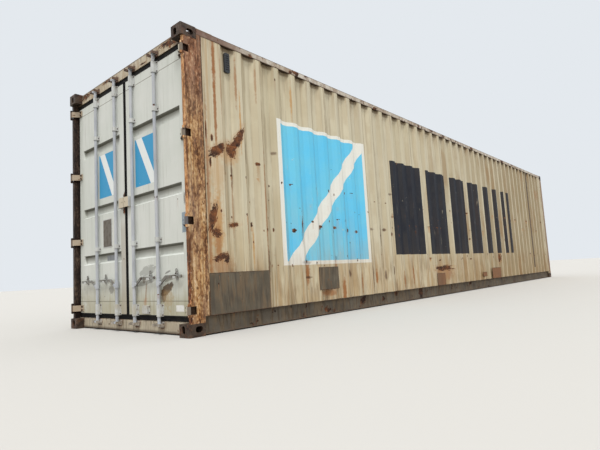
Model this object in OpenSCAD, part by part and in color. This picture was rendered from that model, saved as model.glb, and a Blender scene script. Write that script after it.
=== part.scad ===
// Forty foot high cube dry cargo container with steel walls and double doors.
// X runs along the length with the doors at the low end, Y across, Z up.
// The origin is the middle of the footprint, at the underside of the bottom castings.
// Door end pieces are drawn for the right-hand leaf in end coordinates and mirrored for the left:
// u is the depth behind the door end plane, v is the distance in from the side plane.

/* [Overall] */
// Outside length over the corner castings
length = 12192; // [6000:1:13700]
// Outside width over the corner castings
width = 2438; // [2300:1:2600]
// Outside height over the corner castings
height = 2896; // [2500:1:3000]

/* [Corner castings] */
// Length of a casting along the container
cast_l = 178; // [170:1:190]
// Width of a casting across the container
cast_w = 162; // [155:1:175]
// Height of a casting
cast_h = 118; // [112:1:130]
// Thickness of the plate with the long slot
cast_plate = 28; // [24:1:32]
// Thickness of the other walls
cast_wall = 12; // [8:1:16]
// Radius of the upright edges
cast_r = 12; // [4:1:16]
// Length of the twistlock slot
slot_l = 124.5; // [110:0.5:130]
// Width of the twistlock slot
slot_w = 63.5; // [55:0.5:70]
// Distance of the middle of a slot from the end of the container
slot_in_l = 103.5; // [95:0.5:110]
// Distance of the middle of a slot from the side of the container
slot_in_w = 89.5; // [80:0.5:95]
// Width of the aperture in the side face
side_hole_l = 79.5; // [60:0.5:90]
// Height of the aperture in the side face
side_hole_h = 56; // [40:0.5:66]
// Width of the aperture in the end face
end_hole_w = 51; // [40:0.5:60]
// Height of the aperture in the end face
end_hole_h = 74; // [60:0.5:78]

/* [Rear posts] */
// Thickness of the pressed outer post
post_t = 6; // [4:0.5:8]
// Width of the post on the side of the container
post_side = 202; // [185:1:240]
// Distance from the side plane to the door opening
post_in = 49; // [44:1:60]
// Depth of the post front face behind the door end plane
post_u = 31; // [30:1:40]
// Wall of the inner channel of the post
post_channel_t = 12; // [8:1:14]
// Depth of the post channel along the container
post_channel_l = 113; // [90:1:125]
// Set back of rails, posts and walls from the casting faces
set_back = 3; // [2:0.5:5]

/* [Hinges] */
// Height of the lowest hinge
hinge_low_z = 235; // [200:1:320]
// Heights of the two middle hinges
hinge_mid_z = [1033, 1845]; // [900:1:2100]
// Depth of the highest hinge below the top
hinge_top_drop = 240; // [210:1:320]
// Depth of the hinge pin axis behind the door end plane
pin_u = 15; // [14.5:0.5:18]
// Distance of the hinge pin axis in from the side plane
pin_v = 15; // [14.5:0.5:18]
// Diameter of the hinge pin
pin_d = 16; // [12:0.5:18]
// Outside diameter of the knuckle
knuckle_d = 28; // [24:0.5:29]
// Height of a hinge blade
blade_h = 70; // [50:1:90]
// Thickness of a hinge blade
blade_t = 12; // [8:1:14]
// Thickness of a hinge lug
lug_t = 22; // [14:1:26]
// Running gap between blade and lugs
hinge_gap = 1; // [0.5:0.25:3]
// Running gap round the pin in the eye of a blade
pin_gap = 0.5; // [0.25:0.25:1]
// Length of a pin beyond its lugs
pin_end = 4; // [2:0.5:8]
// Clearance beside a blade in its pocket in the post
pocket_clear = 7; // [5:0.5:12]
// Depth of that pocket behind the front face of the post
pocket_depth = 53; // [48:1:70]
// Gap from the post to the first bend of a blade
blade_bend = 4; // [3:0.5:10]
// Run of the joggle of a blade
blade_joggle = 48; // [30:1:55]
// Distance of the end of a blade from the inner edge of the upright door member
blade_end = 14; // [8:1:30]

/* [Doors] */
// Depth of the door face behind the door end plane
face_depth = 90; // [86:1:96]
// Thickness of a door leaf
leaf_t = 50; // [44:1:56]
// Gap from the leaf to the post
leaf_gap_side = 20; // [18:1:26]
// Gap from the leaf to the header and the sill
leaf_gap_end = 42; // [20:1:60]
// Gap between the two leaves
leaf_gap_mid = 24; // [22:1:30]
// Running clearance of the rubber seal
seal_clear = 5; // [4:0.5:8]
// Gap between the seals of the two leaves
seal_gap_mid = 8; // [6:0.5:12]
// Depth of the seal behind the door face
seal_back = 8; // [4:1:18]
// Length of the seal section along the container
seal_d = 30; // [20:1:32]
// Height of the door opening above the bottom
opening_z = 124; // [120:1:150]
// Height of the header face below the top
header_h = 124; // [120:1:150]
// Wall of the header and the sill
frame_wall = 4; // [3:0.5:6]
// Gap from a closed leaf to the step of the sill
step_gap = 10; // [6:1:16]
// Width of the upright door members
stile_w = 100; // [80:1:130]
// Height of the top door member
top_member_h = 117; // [90:1:150]
// Height of the bottom door member
bottom_member_h = 144; // [110:1:170]
// Wall of the door members
leaf_wall = 4; // [3:0.5:6]
// Thickness of the door sheet
sheet_t = 2; // [1.5:0.5:3]
// Middle heights of the pressed recesses
recess_z = [800, 1365, 2105]; // [600:1:2200]
// Height of a recess at the door face
recess_h = 112; // [80:1:130]
// Depth of a recess
recess_d = 34; // [20:1:38]
// Slope width of a recess flank
recess_slope = 22; // [10:1:30]
// Flat sheet between a recess and the upright members
recess_side = 12; // [6:1:30]

/* [Lock rods] */
// Distance of the inner rods from the middle of the container
rod_inner_y = 185; // [176:1:230]
// Distance of the outer rods in from the side of the container
rod_outer_v = 577; // [540:1:620]
// Outside diameter of a rod
rod_d = 34; // [30:1:36]
// Wall of a rod
rod_wall = 4; // [2.5:0.5:6]
// Length of a rod beyond its cams
rod_end = 8; // [4:1:12]
// Length of the solid ends of a rod
rod_plug = 40; // [30:1:60]
// Height of a rod axis in front of the door face
rod_out = 28; // [26:1:32]
// Reach of the cam nose from the rod axis
cam_r = 36; // [32:1:38]
// Thickness of a cam
cam_t = 22; // [16:1:28]
// Height of the lower cam
cam_z = 92; // [80:1:100]
// Depth of the upper cam below the top
cam_top = 94; // [90:1:106]
// Width of the waist of a cam at the rod
cam_waist = 12; // [8:1:16]
// Thickness of the collar that carries a cam
cam_collar = 3; // [2:0.5:4]
// Clearance of a cam from the prongs of its keeper
cam_gap = 8; // [6:0.5:12]
// Clearance of a cam from the hooked lip of its keeper
lip_gap = 4; // [3:0.5:6]
// Distance of the hooked lip in front of the rod axis
lip_out = 32; // [28:1:35]
// Height of a keeper
keeper_h = 56; // [44:1:70]
// Thickness of the prongs of a keeper
keeper_t = 10; // [8:1:12]
// Thickness of the back plate of a keeper
keeper_back_t = 5; // [3:0.5:5]
// Height of a keeper prong above and below the cam
keeper_edge = 3; // [1:0.5:8]
// Running gap of a rod in its bearings
bearing_gap = 1.5; // [1:0.25:2.5]
// Wall of a bearing
bearing_wall = 5; // [4:0.5:6]
// Height of the upper bearing
bearing_top_h = 118; // [80:1:125]
// Height of the lower bearing
bearing_low_h = 118; // [80:1:135]
// Distance of the end bearings from the ends of the leaf
bearing_in = 4; // [2:0.5:12]
// Width of a bearing foot beside the housing
bearing_foot = 20; // [14:1:30]
// Thickness of a bearing foot
bearing_foot_t = 6; // [4:0.5:8]
// Heights of the two guides between the bearings
guide_z = [912, 2228]; // [860:1:2260]
// Height of a guide
guide_h = 46; // [30:1:60]

/* [Handles] */
// Height of the handle pivot
hub_z = 490; // [450:1:540]
// Diameter of the hub collar
hub_d = 46; // [42:1:50]
// Height of the hub collar
hub_h = 62; // [50:1:80]
// Distance of the handle pivot from the rod axis
pivot_a = 42; // [38:1:50]
// Diameter of the handle pivot pin
pivot_d = 12; // [10:0.5:14]
// Length of the head of that pin
pivot_head = 3; // [2:0.5:4]
// Diameter of the ears round that pin
hub_ear_d = 34; // [28:1:38]
// Thickness of those ears
hub_ear_t = 6; // [4:0.5:8]
// Gap between an ear and the handle
hub_ear_gap = 0.5; // [0.25:0.25:1]
// Running gap of small pins in their holes
small_gap = 0.3; // [0.2:0.05:0.5]
// Thickness of a handle
handle_t = 10; // [8:0.5:12]
// Height of a handle bar
handle_h = 28; // [20:1:36]
// Reach of a handle from the rod axis
handle_l = 395; // [360:1:420]
// Diameter of the eye of a handle
handle_eye_d = 32; // [28:1:36]
// Rise of the handle grip above its pivot
handle_rise = 55; // [30:1:80]
// Run of the rising part of a handle
handle_slope_l = 90; // [60:1:120]
// Place of the catch along the handle, from the rod axis
catch_a = 285; // [260:1:310]
// Width of a catch
catch_w = 44; // [34:1:60]
// Plate thickness of a catch
catch_t = 5; // [3:0.5:6]
// Thickness of the shelf of a catch
shelf_t = 6; // [4:0.5:8]
// Gap between a handle and the shelf it rests on
shelf_gap = 0.3; // [0.2:0.05:0.5]
// Gap between a handle and the front lip of its shelf
shelf_lip_gap = 5; // [5:0.5:8]
// Height of that lip above the shelf
shelf_lip_h = 17; // [10:1:24]
// Depth of the back plate of a catch below its shelf
catch_drop = 16; // [8:1:30]
// Width of the ears that carry a latch
latch_ear_w = 6; // [4:0.5:8]
// Half height of those ears
latch_ear_r = 6; // [5:0.5:8]
// Diameter of the latch pin
latch_pin_d = 6; // [5:0.5:8]
// Distance of the latch pin in front of the door face
latch_out = 11; // [10:0.5:14]
// Height of the latch pin above the top edge of the handle
latch_rise = 14; // [10:1:20]
// Length of a latch flap
latch_l = 46; // [36:1:50]
// Thickness of a latch flap
latch_t = 4; // [3:0.5:5]
// Diameter of the seal holes
seal_hole_d = 14; // [10:1:16]

/* [Rails] */
// Height of the rails above the bottom of the castings
rail_z = 12.5; // [10:0.5:20]
// Height of the bottom side rail
rail_h = 162; // [150:1:175]
// Thickness of the bottom side rail
rail_t = 4.5; // [3:0.5:6]
// Depth of the web of the bottom side rail behind the side plane
rail_web = 48; // [46:1:70]
// Width of the lower lip of the bottom side rail
rail_lip = 32; // [20:1:40]
// Height of the top side rail
top_rail_h = 60; // [50:1:80]
// Width of the top side rail
top_rail_w = 60; // [50:1:80]
// Wall of the top side rail
top_rail_t = 4; // [3:0.5:6]
// Depth of the roof below the top of the castings
roof_drop = 8; // [6:1:12]

/* [Walls] */
// Sheet thickness of the side walls, the front wall and the roof
wall_t = 2; // [1.5:0.5:3]
// Depth of the side wall below the set back
wall_in = 2; // [1:0.5:4]
// Pitch of the side wall corrugations
side_pitch = 278; // [240:1:320]
// Depth of the side wall corrugations
side_depth = 36; // [25:1:38]
// Share of a pitch that is outer flat
side_flat = 72; // [60:1:80]
// Slope length of a side wall corrugation
side_slope = 68; // [50:1:75]
// Length of the flat sheet beside each post
side_end_flat = 216; // [120:1:300]
// Pitch of the front wall corrugations
front_pitch = 250; // [200:1:300]
// Depth of the front wall corrugations
front_depth = 45.6; // [30:0.1:50]
// Outer flat of a front wall corrugation
front_flat = 110; // [80:1:120]
// Slope of a front wall corrugation
front_slope = 18; // [12:1:24]
// Pitch of the roof corrugations
roof_pitch = 209; // [180:1:240]
// Depth of the roof corrugations
roof_depth = 20; // [12:1:25]
// Raised flat of a roof corrugation
roof_flat = 91; // [70:1:100]
// Slope of a roof corrugation
roof_slope = 13.5; // [10:0.5:18]
// Flat roof sheet at each end
roof_end_flat = 230; // [150:1:320]
// Length of the guard plates on the roof beside the castings
guard_l = 190; // [120:1:200]
// Width of those guard plates across the container
guard_w = 330; // [200:1:400]
// Thickness of those guard plates
guard_t = 4; // [3:0.5:5]

/* [Front end] */
// Thickness of the front posts
front_post_t = 6; // [4:0.5:8]
// Width of a front post across the end
front_post_w = 105; // [90:1:130]
// Length of a front post along the side
front_post_l = 175; // [150:1:178]
// Set back of the front end from its plane
front_set = 10; // [6:1:16]
// Depth of the front wall sheet behind the end plane
front_wall_u = 16; // [12:1:24]
// Depth of the front rails along the container
front_rail_d = 62; // [50:1:80]
// Height of the top of the front bottom rail
front_sill_z = 200; // [180:1:240]

/* [Base] */
// Thickness of the floor
floor_t = 28; // [24:1:30]
// Height of the cross members
member_h = 122; // [110:1:130]
// Width of the flanges of the cross members
member_w = 45; // [35:1:60]
// Thickness of the cross members
member_t = 4; // [3:0.5:5]
// Pitch of the cross members
member_pitch = 300; // [250:1:400]
// Gap from the last cross member to the end channel of the tunnel
member_clear = 20; // [10:1:60]
// Length of the gooseneck tunnel
tunnel_l = 3150; // [2500:1:3300]
// Width of the gooseneck tunnel
tunnel_w = 1029; // [1000:1:1060]
// Thickness of the tunnel plates
tunnel_t = 4; // [3:0.5:6]
// Width of the steel strip along the middle of the floor
centre_rail_w = 150; // [100:5:200]
// Length of a floor panel
board_l = 2400; // [1200:10:2440]
// Gap between floor panels
board_gap = 2; // [1:0.5:4]

/* [Fittings] */
// Height of a side vent
vent_h = 206; // [150:1:240]
// Width of a side vent
vent_w = 64; // [50:1:68]
// Depth of a side vent
vent_d = 24; // [15:1:30]
// Middle of the vents below the top of the container
vent_drop = 225; // [200:1:300]
// Corner radius of a vent
vent_r = 14; // [6:1:20]
// Pitch of the slots in a vent
vent_pitch = 24; // [18:1:30]
// Width of those slots
vent_slot = 8; // [5:0.5:12]
// Solid rim beside those slots
vent_rim = 10; // [8:1:16]
// Thickness of the repair plates
patch_t = 3; // [2:0.5:3]
// First repair plate: distance from the door end, length, height above the bottom rail, height
patch_a = [238, 768, 0, 380]; // [0:1:11000]
// Second repair plate, in the same order
patch_b = [1821, 370, 126, 261]; // [0:1:11000]
// Third repair plate, in the same order
patch_c = [4923, 307, 0, 197]; // [0:1:11000]
// Fourth repair plate, from the front end
patch_d = [4976, 215, 60, 87]; // [0:1:11000]
// Fifth repair plate, from the front end
patch_e = [4136, 520, 0, 217]; // [0:1:11000]
// Height of the customs bracket on the leaf edges
bridge_z = 1372; // [1300:1:1450]
// Height of the customs bracket
bridge_h = 108; // [80:1:130]
// Distance of the customs bracket in front of the door face
bridge_out = 34; // [28:1:36]
// Plate thickness of the customs bracket
bridge_t = 5; // [4:0.5:8]
// Width between the legs of the customs bracket
bridge_leg_in = 54; // [40:1:60]
// Gap from the customs bracket to the middle of the container
bridge_gap = 5; // [5:0.5:10]
// Distance of the seal hole from the end of the customs bracket
bridge_hole_in = 24; // [18:1:30]
// Middle of the low bracket from the middle of the container
bracket_y = 370; // [340:1:400]
// Width of the foot of the low bracket
bracket_w = 152; // [130:1:180]
// Height of that foot
bracket_h = 84; // [60:1:100]
// Width of the low bracket in front of its foot
bracket_face_w = 92; // [70:1:110]
// Distance of that face in front of the door face
bracket_out = 22; // [14:1:28]
// Distance of the low bracket above the bottom of the leaf
bracket_in = 24; // [10:1:40]
// Middle of the plate on the left leaf from the middle of the container
plate_y = 430; // [380:1:480]
// Height of the middle of that plate
plate_z = 1081; // [1040:1:1120]
// Width of that plate
plate_w = 206; // [150:1:220]
// Height of that plate
plate_h = 322; // [200:1:360]
// Thickness of that plate
plate_t = 3; // [1:0.5:5]

/* [Hidden] */

$fn = 48;
eps = 1;

half_l = length / 2;
half_w = width / 2;
roof_z = height - roof_drop;
side_rail_low = roof_z - top_rail_h;
sill_rail_z = rail_z + rail_h;
floor_z = rail_z + member_h;
post_end_u = post_u + post_side;
wall_v = set_back + wall_in;
opening_top = height - header_h;
leaf_z = opening_z + leaf_gap_end;
leaf_top = opening_top - leaf_gap_end;
leaf_v = post_in + leaf_gap_side;
leaf_w = half_w - leaf_gap_mid / 2 - leaf_v;
leaf_in_u = face_depth + leaf_t;
rod_u = face_depth - rod_out;
rod_v = [half_w - rod_inner_y, rod_outer_v];
hinge_z = concat(hinge_low_z, hinge_mid_z, height - hinge_top_drop);
wall_l = length - post_end_u - cast_l;
wall_count = floor((wall_l - 2 * side_end_flat + side_flat) / side_pitch);
wall_start = (wall_l - (wall_count * side_pitch - side_flat)) / 2;
front_end_u = front_wall_u + front_rail_d;
outer = 1;
inner = 0;
housing_r = rod_d / 2 + bearing_gap + bearing_wall;

// Frame helpers

// Moves a piece drawn in end coordinates to a corner of the container
module at_corner(ex, ey) {
    translate([ex * half_l, ey * half_w, 0])
        mirror([ex > 0 ? 1 : 0, 0, 0])
            mirror([0, ey > 0 ? 1 : 0, 0])
                children();
}

// Plan rectangle between two corners
module plan(u0, u1, v0, v1) {
    translate([u0, v0])
        square([u1 - u0, v1 - v0]);
}

// Block between two corners
module block(u0, u1, v0, v1, z0, z1) {
    translate([u0, v0, z0])
        cube([u1 - u0, v1 - v0, z1 - z0]);
}

// Rectangle with round corners from its low corner
module round_rect(l, w, r) {
    translate([r, 0])
        square([l - 2 * r, w]);
    translate([0, r])
        square([l, w - 2 * r]);
    for (x = [r, l - r], y = [r, w - r])
        translate([x, y])
            circle(r = r);
}

// Slot with round ends about the origin, along the first axis
module slot(l, w) {
    square([l - w, w], center = true);
    for (s = [-1, 1])
        translate([s * (l - w) / 2, 0])
            circle(d = w);
}

// Flat bar with round ends between two plan points
module bar(a, b, t) {
    d = b - a;
    translate(a)
        rotate(atan2(d[1], d[0]))
            translate([0, -t / 2])
                square([norm(d), t]);
    for (p = [a, b])
        translate(p)
            circle(d = t);
}

// Points of one trapezoid wave: start, outer flat, slope, inner depth, pitch and number of recesses
function wave(start, flat, slope, depth, pitch, count) = [
    for (i = [0 : count - 1])
        for (p = [
            [start + i * pitch, 0],
            [start + i * pitch + slope, depth],
            [start + (i + 1) * pitch - flat - slope, depth],
            [start + (i + 1) * pitch - flat, 0]
        ]) p
];

// Corrugated sheet outline: the wave with a flat at each end, and the same line again at its thickness
module corrugated(total, flat, slope, depth, pitch, count, t) {
    start = (total - (count * pitch - flat)) / 2;
    line = concat([[0, 0]], wave(start, flat, slope, depth, pitch, count), [[total, 0]]);
    n = len(line);
    polygon(concat(line, [for (i = [n - 1 : -1 : 0]) line[i] + [0, t]]));
}

// Corner castings

module casting_body() {
    inside_h = cast_h - cast_plate - cast_wall;
    difference() {
        linear_extrude(cast_h)
            round_rect(cast_l, cast_w, cast_r);
        block(cast_wall, cast_l - cast_wall, cast_wall, cast_w - cast_wall, cast_plate, cast_h - cast_wall);
        translate([slot_in_l, slot_in_w, -eps])
            linear_extrude(cast_plate + 2 * eps)
                slot(slot_l, slot_w);
        translate([slot_in_l, cast_wall + eps, cast_plate + inside_h / 2])
            rotate([90, 0, 0])
                linear_extrude(cast_wall + 2 * eps)
                    slot(side_hole_l, side_hole_h);
        translate([-eps, slot_in_w, cast_plate + inside_h / 2])
            rotate([90, 0, 90])
                linear_extrude(cast_wall + 2 * eps)
                    rotate(90)
                        slot(end_hole_h, end_hole_w);
    }
}

module casting(ex, ey, top) {
    color("#4a3226")
        at_corner(ex, ey)
            translate([0, 0, top ? height : 0])
                mirror([0, 0, top ? 1 : 0])
                    casting_body();
}

// Rear frame

pocket_h = blade_h + 2 * hinge_gap + 2 * lug_t;
pocket_v = pin_v + blade_t / 2 + pocket_clear;
pocket_u = post_u + pocket_depth;

// Section of the rear post: pressed outer part and hot rolled inner channel
module rear_post_plan() {
    plan(post_u, post_end_u, set_back, set_back + post_t);
    plan(post_u, post_u + post_t, set_back, post_in);
    plan(post_u, post_end_u - post_channel_l, post_in - post_t, post_in);
    plan(post_end_u - post_channel_l, post_end_u, post_in - post_channel_t, post_in);
    for (u = [post_end_u - post_channel_l, post_end_u - post_channel_t])
        plan(u, u + post_channel_t, set_back, post_in);
}

module rear_post(ey) {
    color("#a5683a")
        at_corner(-1, ey)
            difference() {
                union() {
                    translate([0, 0, cast_h])
                        linear_extrude(height - 2 * cast_h)
                            intersection() {
                                rear_post_plan();
                                plan(0, cast_l, 0, cast_w);
                            }
                    translate([0, 0, sill_rail_z])
                        linear_extrude(side_rail_low - sill_rail_z)
                            intersection() {
                                rear_post_plan();
                                plan(cast_l, post_end_u, 0, cast_w);
                            }
                    for (z = hinge_z)
                        translate([0, 0, z - pocket_h / 2])
                            linear_extrude(pocket_h)
                                plan(post_u, pocket_u + post_t, set_back, pocket_v + post_t);
                }
                for (z = hinge_z)
                    block(0, pocket_u, -eps, pocket_v, z - pocket_h / 2, z + pocket_h / 2);
            }
}

// One lug plate: an eye round the pin and a tongue that fills the post pocket
module lug_plan() {
    translate([pin_u, pin_v])
        circle(d = knuckle_d);
    plan(pin_u, pocket_u, set_back, pocket_v);
    plan(pin_u, post_u, pin_v - knuckle_d / 2, pin_v + knuckle_d / 2);
}

module hinge_lugs() {
    color("#6b4630")
        for (ey = [-1, 1])
            at_corner(-1, ey)
                for (z = hinge_z) {
                    for (z0 = [z - pocket_h / 2, z + pocket_h / 2 - lug_t])
                        translate([0, 0, z0])
                            linear_extrude(lug_t)
                                lug_plan();
                    translate([pin_u, pin_v, z - pocket_h / 2 - pin_end])
                        cylinder(d = pin_d, h = pocket_h + 2 * pin_end);
                }
}

module door_header() {
    wall = frame_wall;
    color("#c9c6b8")
        translate([-half_l, 0, 0]) {
            difference() {
                block(face_depth, cast_l, cast_w - half_w, half_w - cast_w, opening_top, roof_z);
                block(face_depth + wall, cast_l - wall, cast_w - half_w - eps, half_w - cast_w + eps,
                    opening_top + wall, roof_z - wall);
            }
            for (s = [-1, 1])
                translate([face_depth, s > 0 ? half_w - cast_w : post_in - half_w, opening_top])
                    cube([cast_l - face_depth, cast_w - post_in, height - cast_h - opening_top]);
        }
}

module door_sill() {
    wall = frame_wall;
    low = rail_z;
    step_u = leaf_in_u + step_gap;
    color("#8f8a7a")
        translate([-half_l, 0, 0]) {
            difference() {
                block(face_depth, cast_l, cast_w - half_w, half_w - cast_w, low, opening_z);
                block(face_depth + wall, cast_l - wall, cast_w - half_w - eps, half_w - cast_w + eps,
                    low + wall, opening_z - wall);
            }
            block(step_u, cast_l, post_in - half_w, half_w - post_in, opening_z, floor_z + floor_t);
            for (s = [-1, 1])
                translate([face_depth, s > 0 ? half_w - cast_w : post_in - half_w, cast_h])
                    cube([cast_l - face_depth, cast_w - post_in, opening_z - cast_h]);
        }
}

// Cam keeper about a rod axis, nose side towards low v: back plate, two prongs and one hooked lip
module keeper() {
    inside = cam_r + cam_gap;
    outside = inside + keeper_t;
    tip = -lip_out - keeper_t;
    lip_end = -sqrt(pow(cam_r + lip_gap, 2) - pow(lip_out, 2));
    translate([0, 0, -keeper_h / 2])
        linear_extrude(keeper_h)
            plan(rod_out - keeper_back_t, rod_out, -outside, outside);
    translate([0, 0, -cam_t / 2 - keeper_edge])
        linear_extrude(cam_t + 2 * keeper_edge) {
            plan(tip, rod_out, -outside, -inside);
            plan(tip, rod_out, inside, outside);
            plan(tip, -lip_out, -outside, lip_end);
        }
}

module rod_keepers() {
    color("#5a4334")
        for (ey = [-1, 1])
            at_corner(-1, ey)
                for (v = rod_v, z = [cam_z, height - cam_top])
                    translate([rod_u, v, z])
                        keeper();
}

// Front end

// Pressed front post, with a foot over the casting that closes the end of the front bottom rail
module front_post(ey) {
    color("#b3a68c")
        at_corner(1, ey) {
            block(front_wall_u, front_end_u, front_post_w, cast_w, cast_h, front_sill_z);
            translate([0, 0, cast_h])
                linear_extrude(height - 2 * cast_h) {
                    plan(front_set, front_post_l, set_back, set_back + front_post_t);
                    plan(front_set, front_set + front_post_t, set_back, front_post_w);
                    plan(front_set, front_wall_u + front_depth, front_post_w - front_post_t, front_post_w);
                    plan(front_post_l - front_post_t, front_post_l, set_back, wall_v + side_depth);
                }
        }
}

module front_top_rail() {
    low = height - cast_h;
    span = half_w - cast_w;
    color("#b3a68c")
        translate([half_l, 0, 0])
            mirror([1, 0, 0]) {
                difference() {
                    block(front_wall_u, front_end_u, -span, span, low, roof_z);
                    block(front_wall_u + top_rail_t, front_end_u - top_rail_t, -span - eps, span + eps,
                        low + top_rail_t, roof_z - top_rail_t);
                }
                block(front_end_u, cast_l, -span, span, roof_z - top_rail_t, roof_z);
            }
}

// Outline of the front bottom rail seen from the front, with the tunnel mouth, drawn in by t
module front_sill_outline(t) {
    foot = half_w - cast_w - t;
    mouth = tunnel_w / 2 + t;
    low = rail_z + t;
    top = front_sill_z - t;
    roof = floor_z + t;
    polygon([
        [-foot, top], [foot, top], [foot, low], [mouth, low],
        [mouth, roof], [-mouth, roof], [-mouth, low], [-foot, low]
    ]);
}

module front_bottom_rail() {
    wall = rail_t;
    color("#7c7566")
        translate([half_l - front_end_u, 0, 0])
            rotate([90, 0, 90])
                difference() {
                    linear_extrude(front_rail_d)
                        front_sill_outline(0);
                    translate([0, 0, -eps])
                        linear_extrude(front_rail_d - wall + eps)
                            front_sill_outline(wall);
                }
}

module front_wall() {
    span = width - 2 * front_post_w;
    count = floor((span - front_flat) / front_pitch);
    color("#c4bb9f")
        translate([half_l - front_wall_u, -span / 2, front_sill_z])
            rotate(90)
                linear_extrude(height - cast_h - front_sill_z)
                    corrugated(span, front_flat, front_slope, front_depth, front_pitch, count, wall_t);
}

// Side rails, walls and roof

module top_side_rail(ey) {
    color("#7d5b43")
        at_corner(-1, ey)
            difference() {
                block(cast_l, length - cast_l, set_back, set_back + top_rail_w, side_rail_low, roof_z);
                block(cast_l - eps, length - cast_l + eps, set_back + top_rail_t,
                    set_back + top_rail_w - top_rail_t, side_rail_low + top_rail_t, roof_z - top_rail_t);
            }
}

module bottom_side_rail(ey) {
    lip_v = rail_web - rail_lip;
    color("#77705c")
        at_corner(-1, ey) {
            block(cast_l, length - cast_l, rail_web, rail_web + rail_t, rail_z, sill_rail_z);
            block(cast_l, length - cast_l, wall_v, rail_web, sill_rail_z - rail_t, sill_rail_z);
            block(cast_l, length - cast_l, lip_v, rail_web, rail_z, rail_z + rail_t);
        }
}

module side_wall(ey) {
    color("#cfc19a")
        at_corner(-1, ey)
            translate([post_end_u, wall_v, sill_rail_z])
                linear_extrude(side_rail_low - sill_rail_z)
                    corrugated(wall_l, side_flat, side_slope, side_depth, side_pitch, wall_count, wall_t);
}

// Corrugated roof with a guard plate beside each casting
module roof_panel() {
    total = length - 2 * cast_l;
    span = width - 2 * (set_back + top_rail_w);
    count = floor((total - 2 * roof_end_flat + roof_flat) / roof_pitch);
    color("#b9ad8d") {
        translate([-total / 2, span / 2, roof_z])
            rotate([90, 0, 0])
                linear_extrude(span)
                    mirror([0, 1])
                        corrugated(total, roof_flat, roof_slope, roof_depth, roof_pitch, count, wall_t);
        for (ex = [-1, 1], ey = [-1, 1])
            at_corner(ex, ey)
                block(cast_l, cast_l + guard_l, set_back, set_back + guard_w, roof_z, roof_z + guard_t);
    }
}

// Base

module floor_panels() {
    low_x = cast_l - half_l;
    high_x = half_l - front_end_u;
    side = half_w - rail_web - rail_t;
    count = ceil((high_x - low_x) / board_l);
    step = (high_x - low_x) / count;
    color("#8a6a45") {
        for (i = [0 : count - 1], s = [-1, 1])
            translate([low_x + i * step, s > 0 ? centre_rail_w / 2 + board_gap : -side, floor_z])
                cube([step - board_gap, side - centre_rail_w / 2 - board_gap, floor_t]);
        translate([low_x, -centre_rail_w / 2, floor_z])
            cube([high_x - low_x, centre_rail_w, floor_t]);
    }
}

// Channel lying across the container, open towards the front
module cross_channel(len_y) {
    translate([0, len_y / 2, 0])
        rotate([90, 0, 0])
            linear_extrude(len_y) {
                square([member_t, member_h]);
                for (z = [0, member_h - member_t])
                    translate([0, z])
                        square([member_w, member_t]);
            }
}

member_span = width - 2 * (rail_web + rail_t);
tunnel_x = half_l - front_end_u - tunnel_l;

module cross_members() {
    first = cast_l - half_l + member_pitch / 2;
    count = floor((tunnel_x - member_w - first - member_clear) / member_pitch) + 1;
    color("#6f6a5c")
        for (i = [0 : count - 1])
            translate([first + i * member_pitch, 0, rail_z])
                cross_channel(member_span);
}

// Raised tunnel for the trailer neck: top plate, side walls, end channel and outriggers to the rails
module gooseneck_tunnel() {
    end_x = tunnel_x + tunnel_l;
    wall_y = tunnel_w / 2;
    side_l = member_span / 2 - wall_y - tunnel_t;
    count = floor(tunnel_l / member_pitch);
    rib_x = end_x + member_pitch / 2;
    rib_y = wall_y + tunnel_t + side_l / 2;
    color("#6f6a5c") {
        translate([tunnel_x, -wall_y, floor_z - tunnel_t])
            cube([tunnel_l, tunnel_w, tunnel_t]);
        for (s = [-1, 1])
            translate([tunnel_x, s > 0 ? wall_y : -wall_y - tunnel_t, rail_z])
                cube([tunnel_l, tunnel_t, member_h]);
        translate([tunnel_x, 0, rail_z])
            mirror([1, 0, 0])
                cross_channel(member_span);
        for (i = [1 : count], s = [-1, 1])
            translate([rib_x - i * member_pitch, s * rib_y, rail_z])
                cross_channel(side_l);
    }
}

// Doors, drawn in end coordinates for the right leaf

leaf_v1 = leaf_v + leaf_w;
panel_v = leaf_v + stile_w;
panel_v1 = leaf_v1 - stile_w;
panel_z = leaf_z + bottom_member_h;
panel_z1 = leaf_top - top_member_h;

// Tube member of a door leaf
module member(v0, v1, z0, z1, upright) {
    w = leaf_wall;
    difference() {
        block(face_depth, leaf_in_u, v0, v1, z0, z1);
        if (upright)
            block(face_depth + w, leaf_in_u - w, v0 + w, v1 - w, z0 + w, z1 - w);
        else
            block(face_depth + w, leaf_in_u - w, v0 - eps, v1 + eps, z0 + w, z1 - w);
    }
}

module leaf_frame(ey) {
    color("#c7c8bd")
        at_corner(-1, ey) {
            member(leaf_v, panel_v, leaf_z, leaf_top, true);
            member(panel_v1, leaf_v1, leaf_z, leaf_top, true);
            member(panel_v, panel_v1, leaf_z, panel_z, false);
            member(panel_v, panel_v1, panel_z1, leaf_top, false);
        }
}

// Solid of one pressed recess, grown by t on its flanks and shortened by cut at its mouth
module recess(z, grow, depth) {
    v0 = panel_v + recess_side;
    v1 = panel_v1 - recess_side;
    front = face_depth - eps;
    k = recess_slope / recess_d;
    lead = k * eps;
    intersection() {
        translate([0, v1 + eps, z])
            rotate([90, 0, 0])
                linear_extrude(v1 - v0 + 2 * eps)
                    polygon([
                        [front, -recess_h / 2 - lead - grow],
                        [front, recess_h / 2 + lead + grow],
                        [face_depth + depth, recess_h / 2 - k * depth + grow],
                        [face_depth + depth, -recess_h / 2 + k * depth - grow]
                    ]);
        translate([0, 0, z - recess_h])
            linear_extrude(2 * recess_h)
                polygon([
                    [front, v0 - lead - grow],
                    [face_depth + depth, v0 + k * depth - grow],
                    [face_depth + depth, v1 - k * depth + grow],
                    [front, v1 + lead + grow]
                ]);
    }
}

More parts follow.
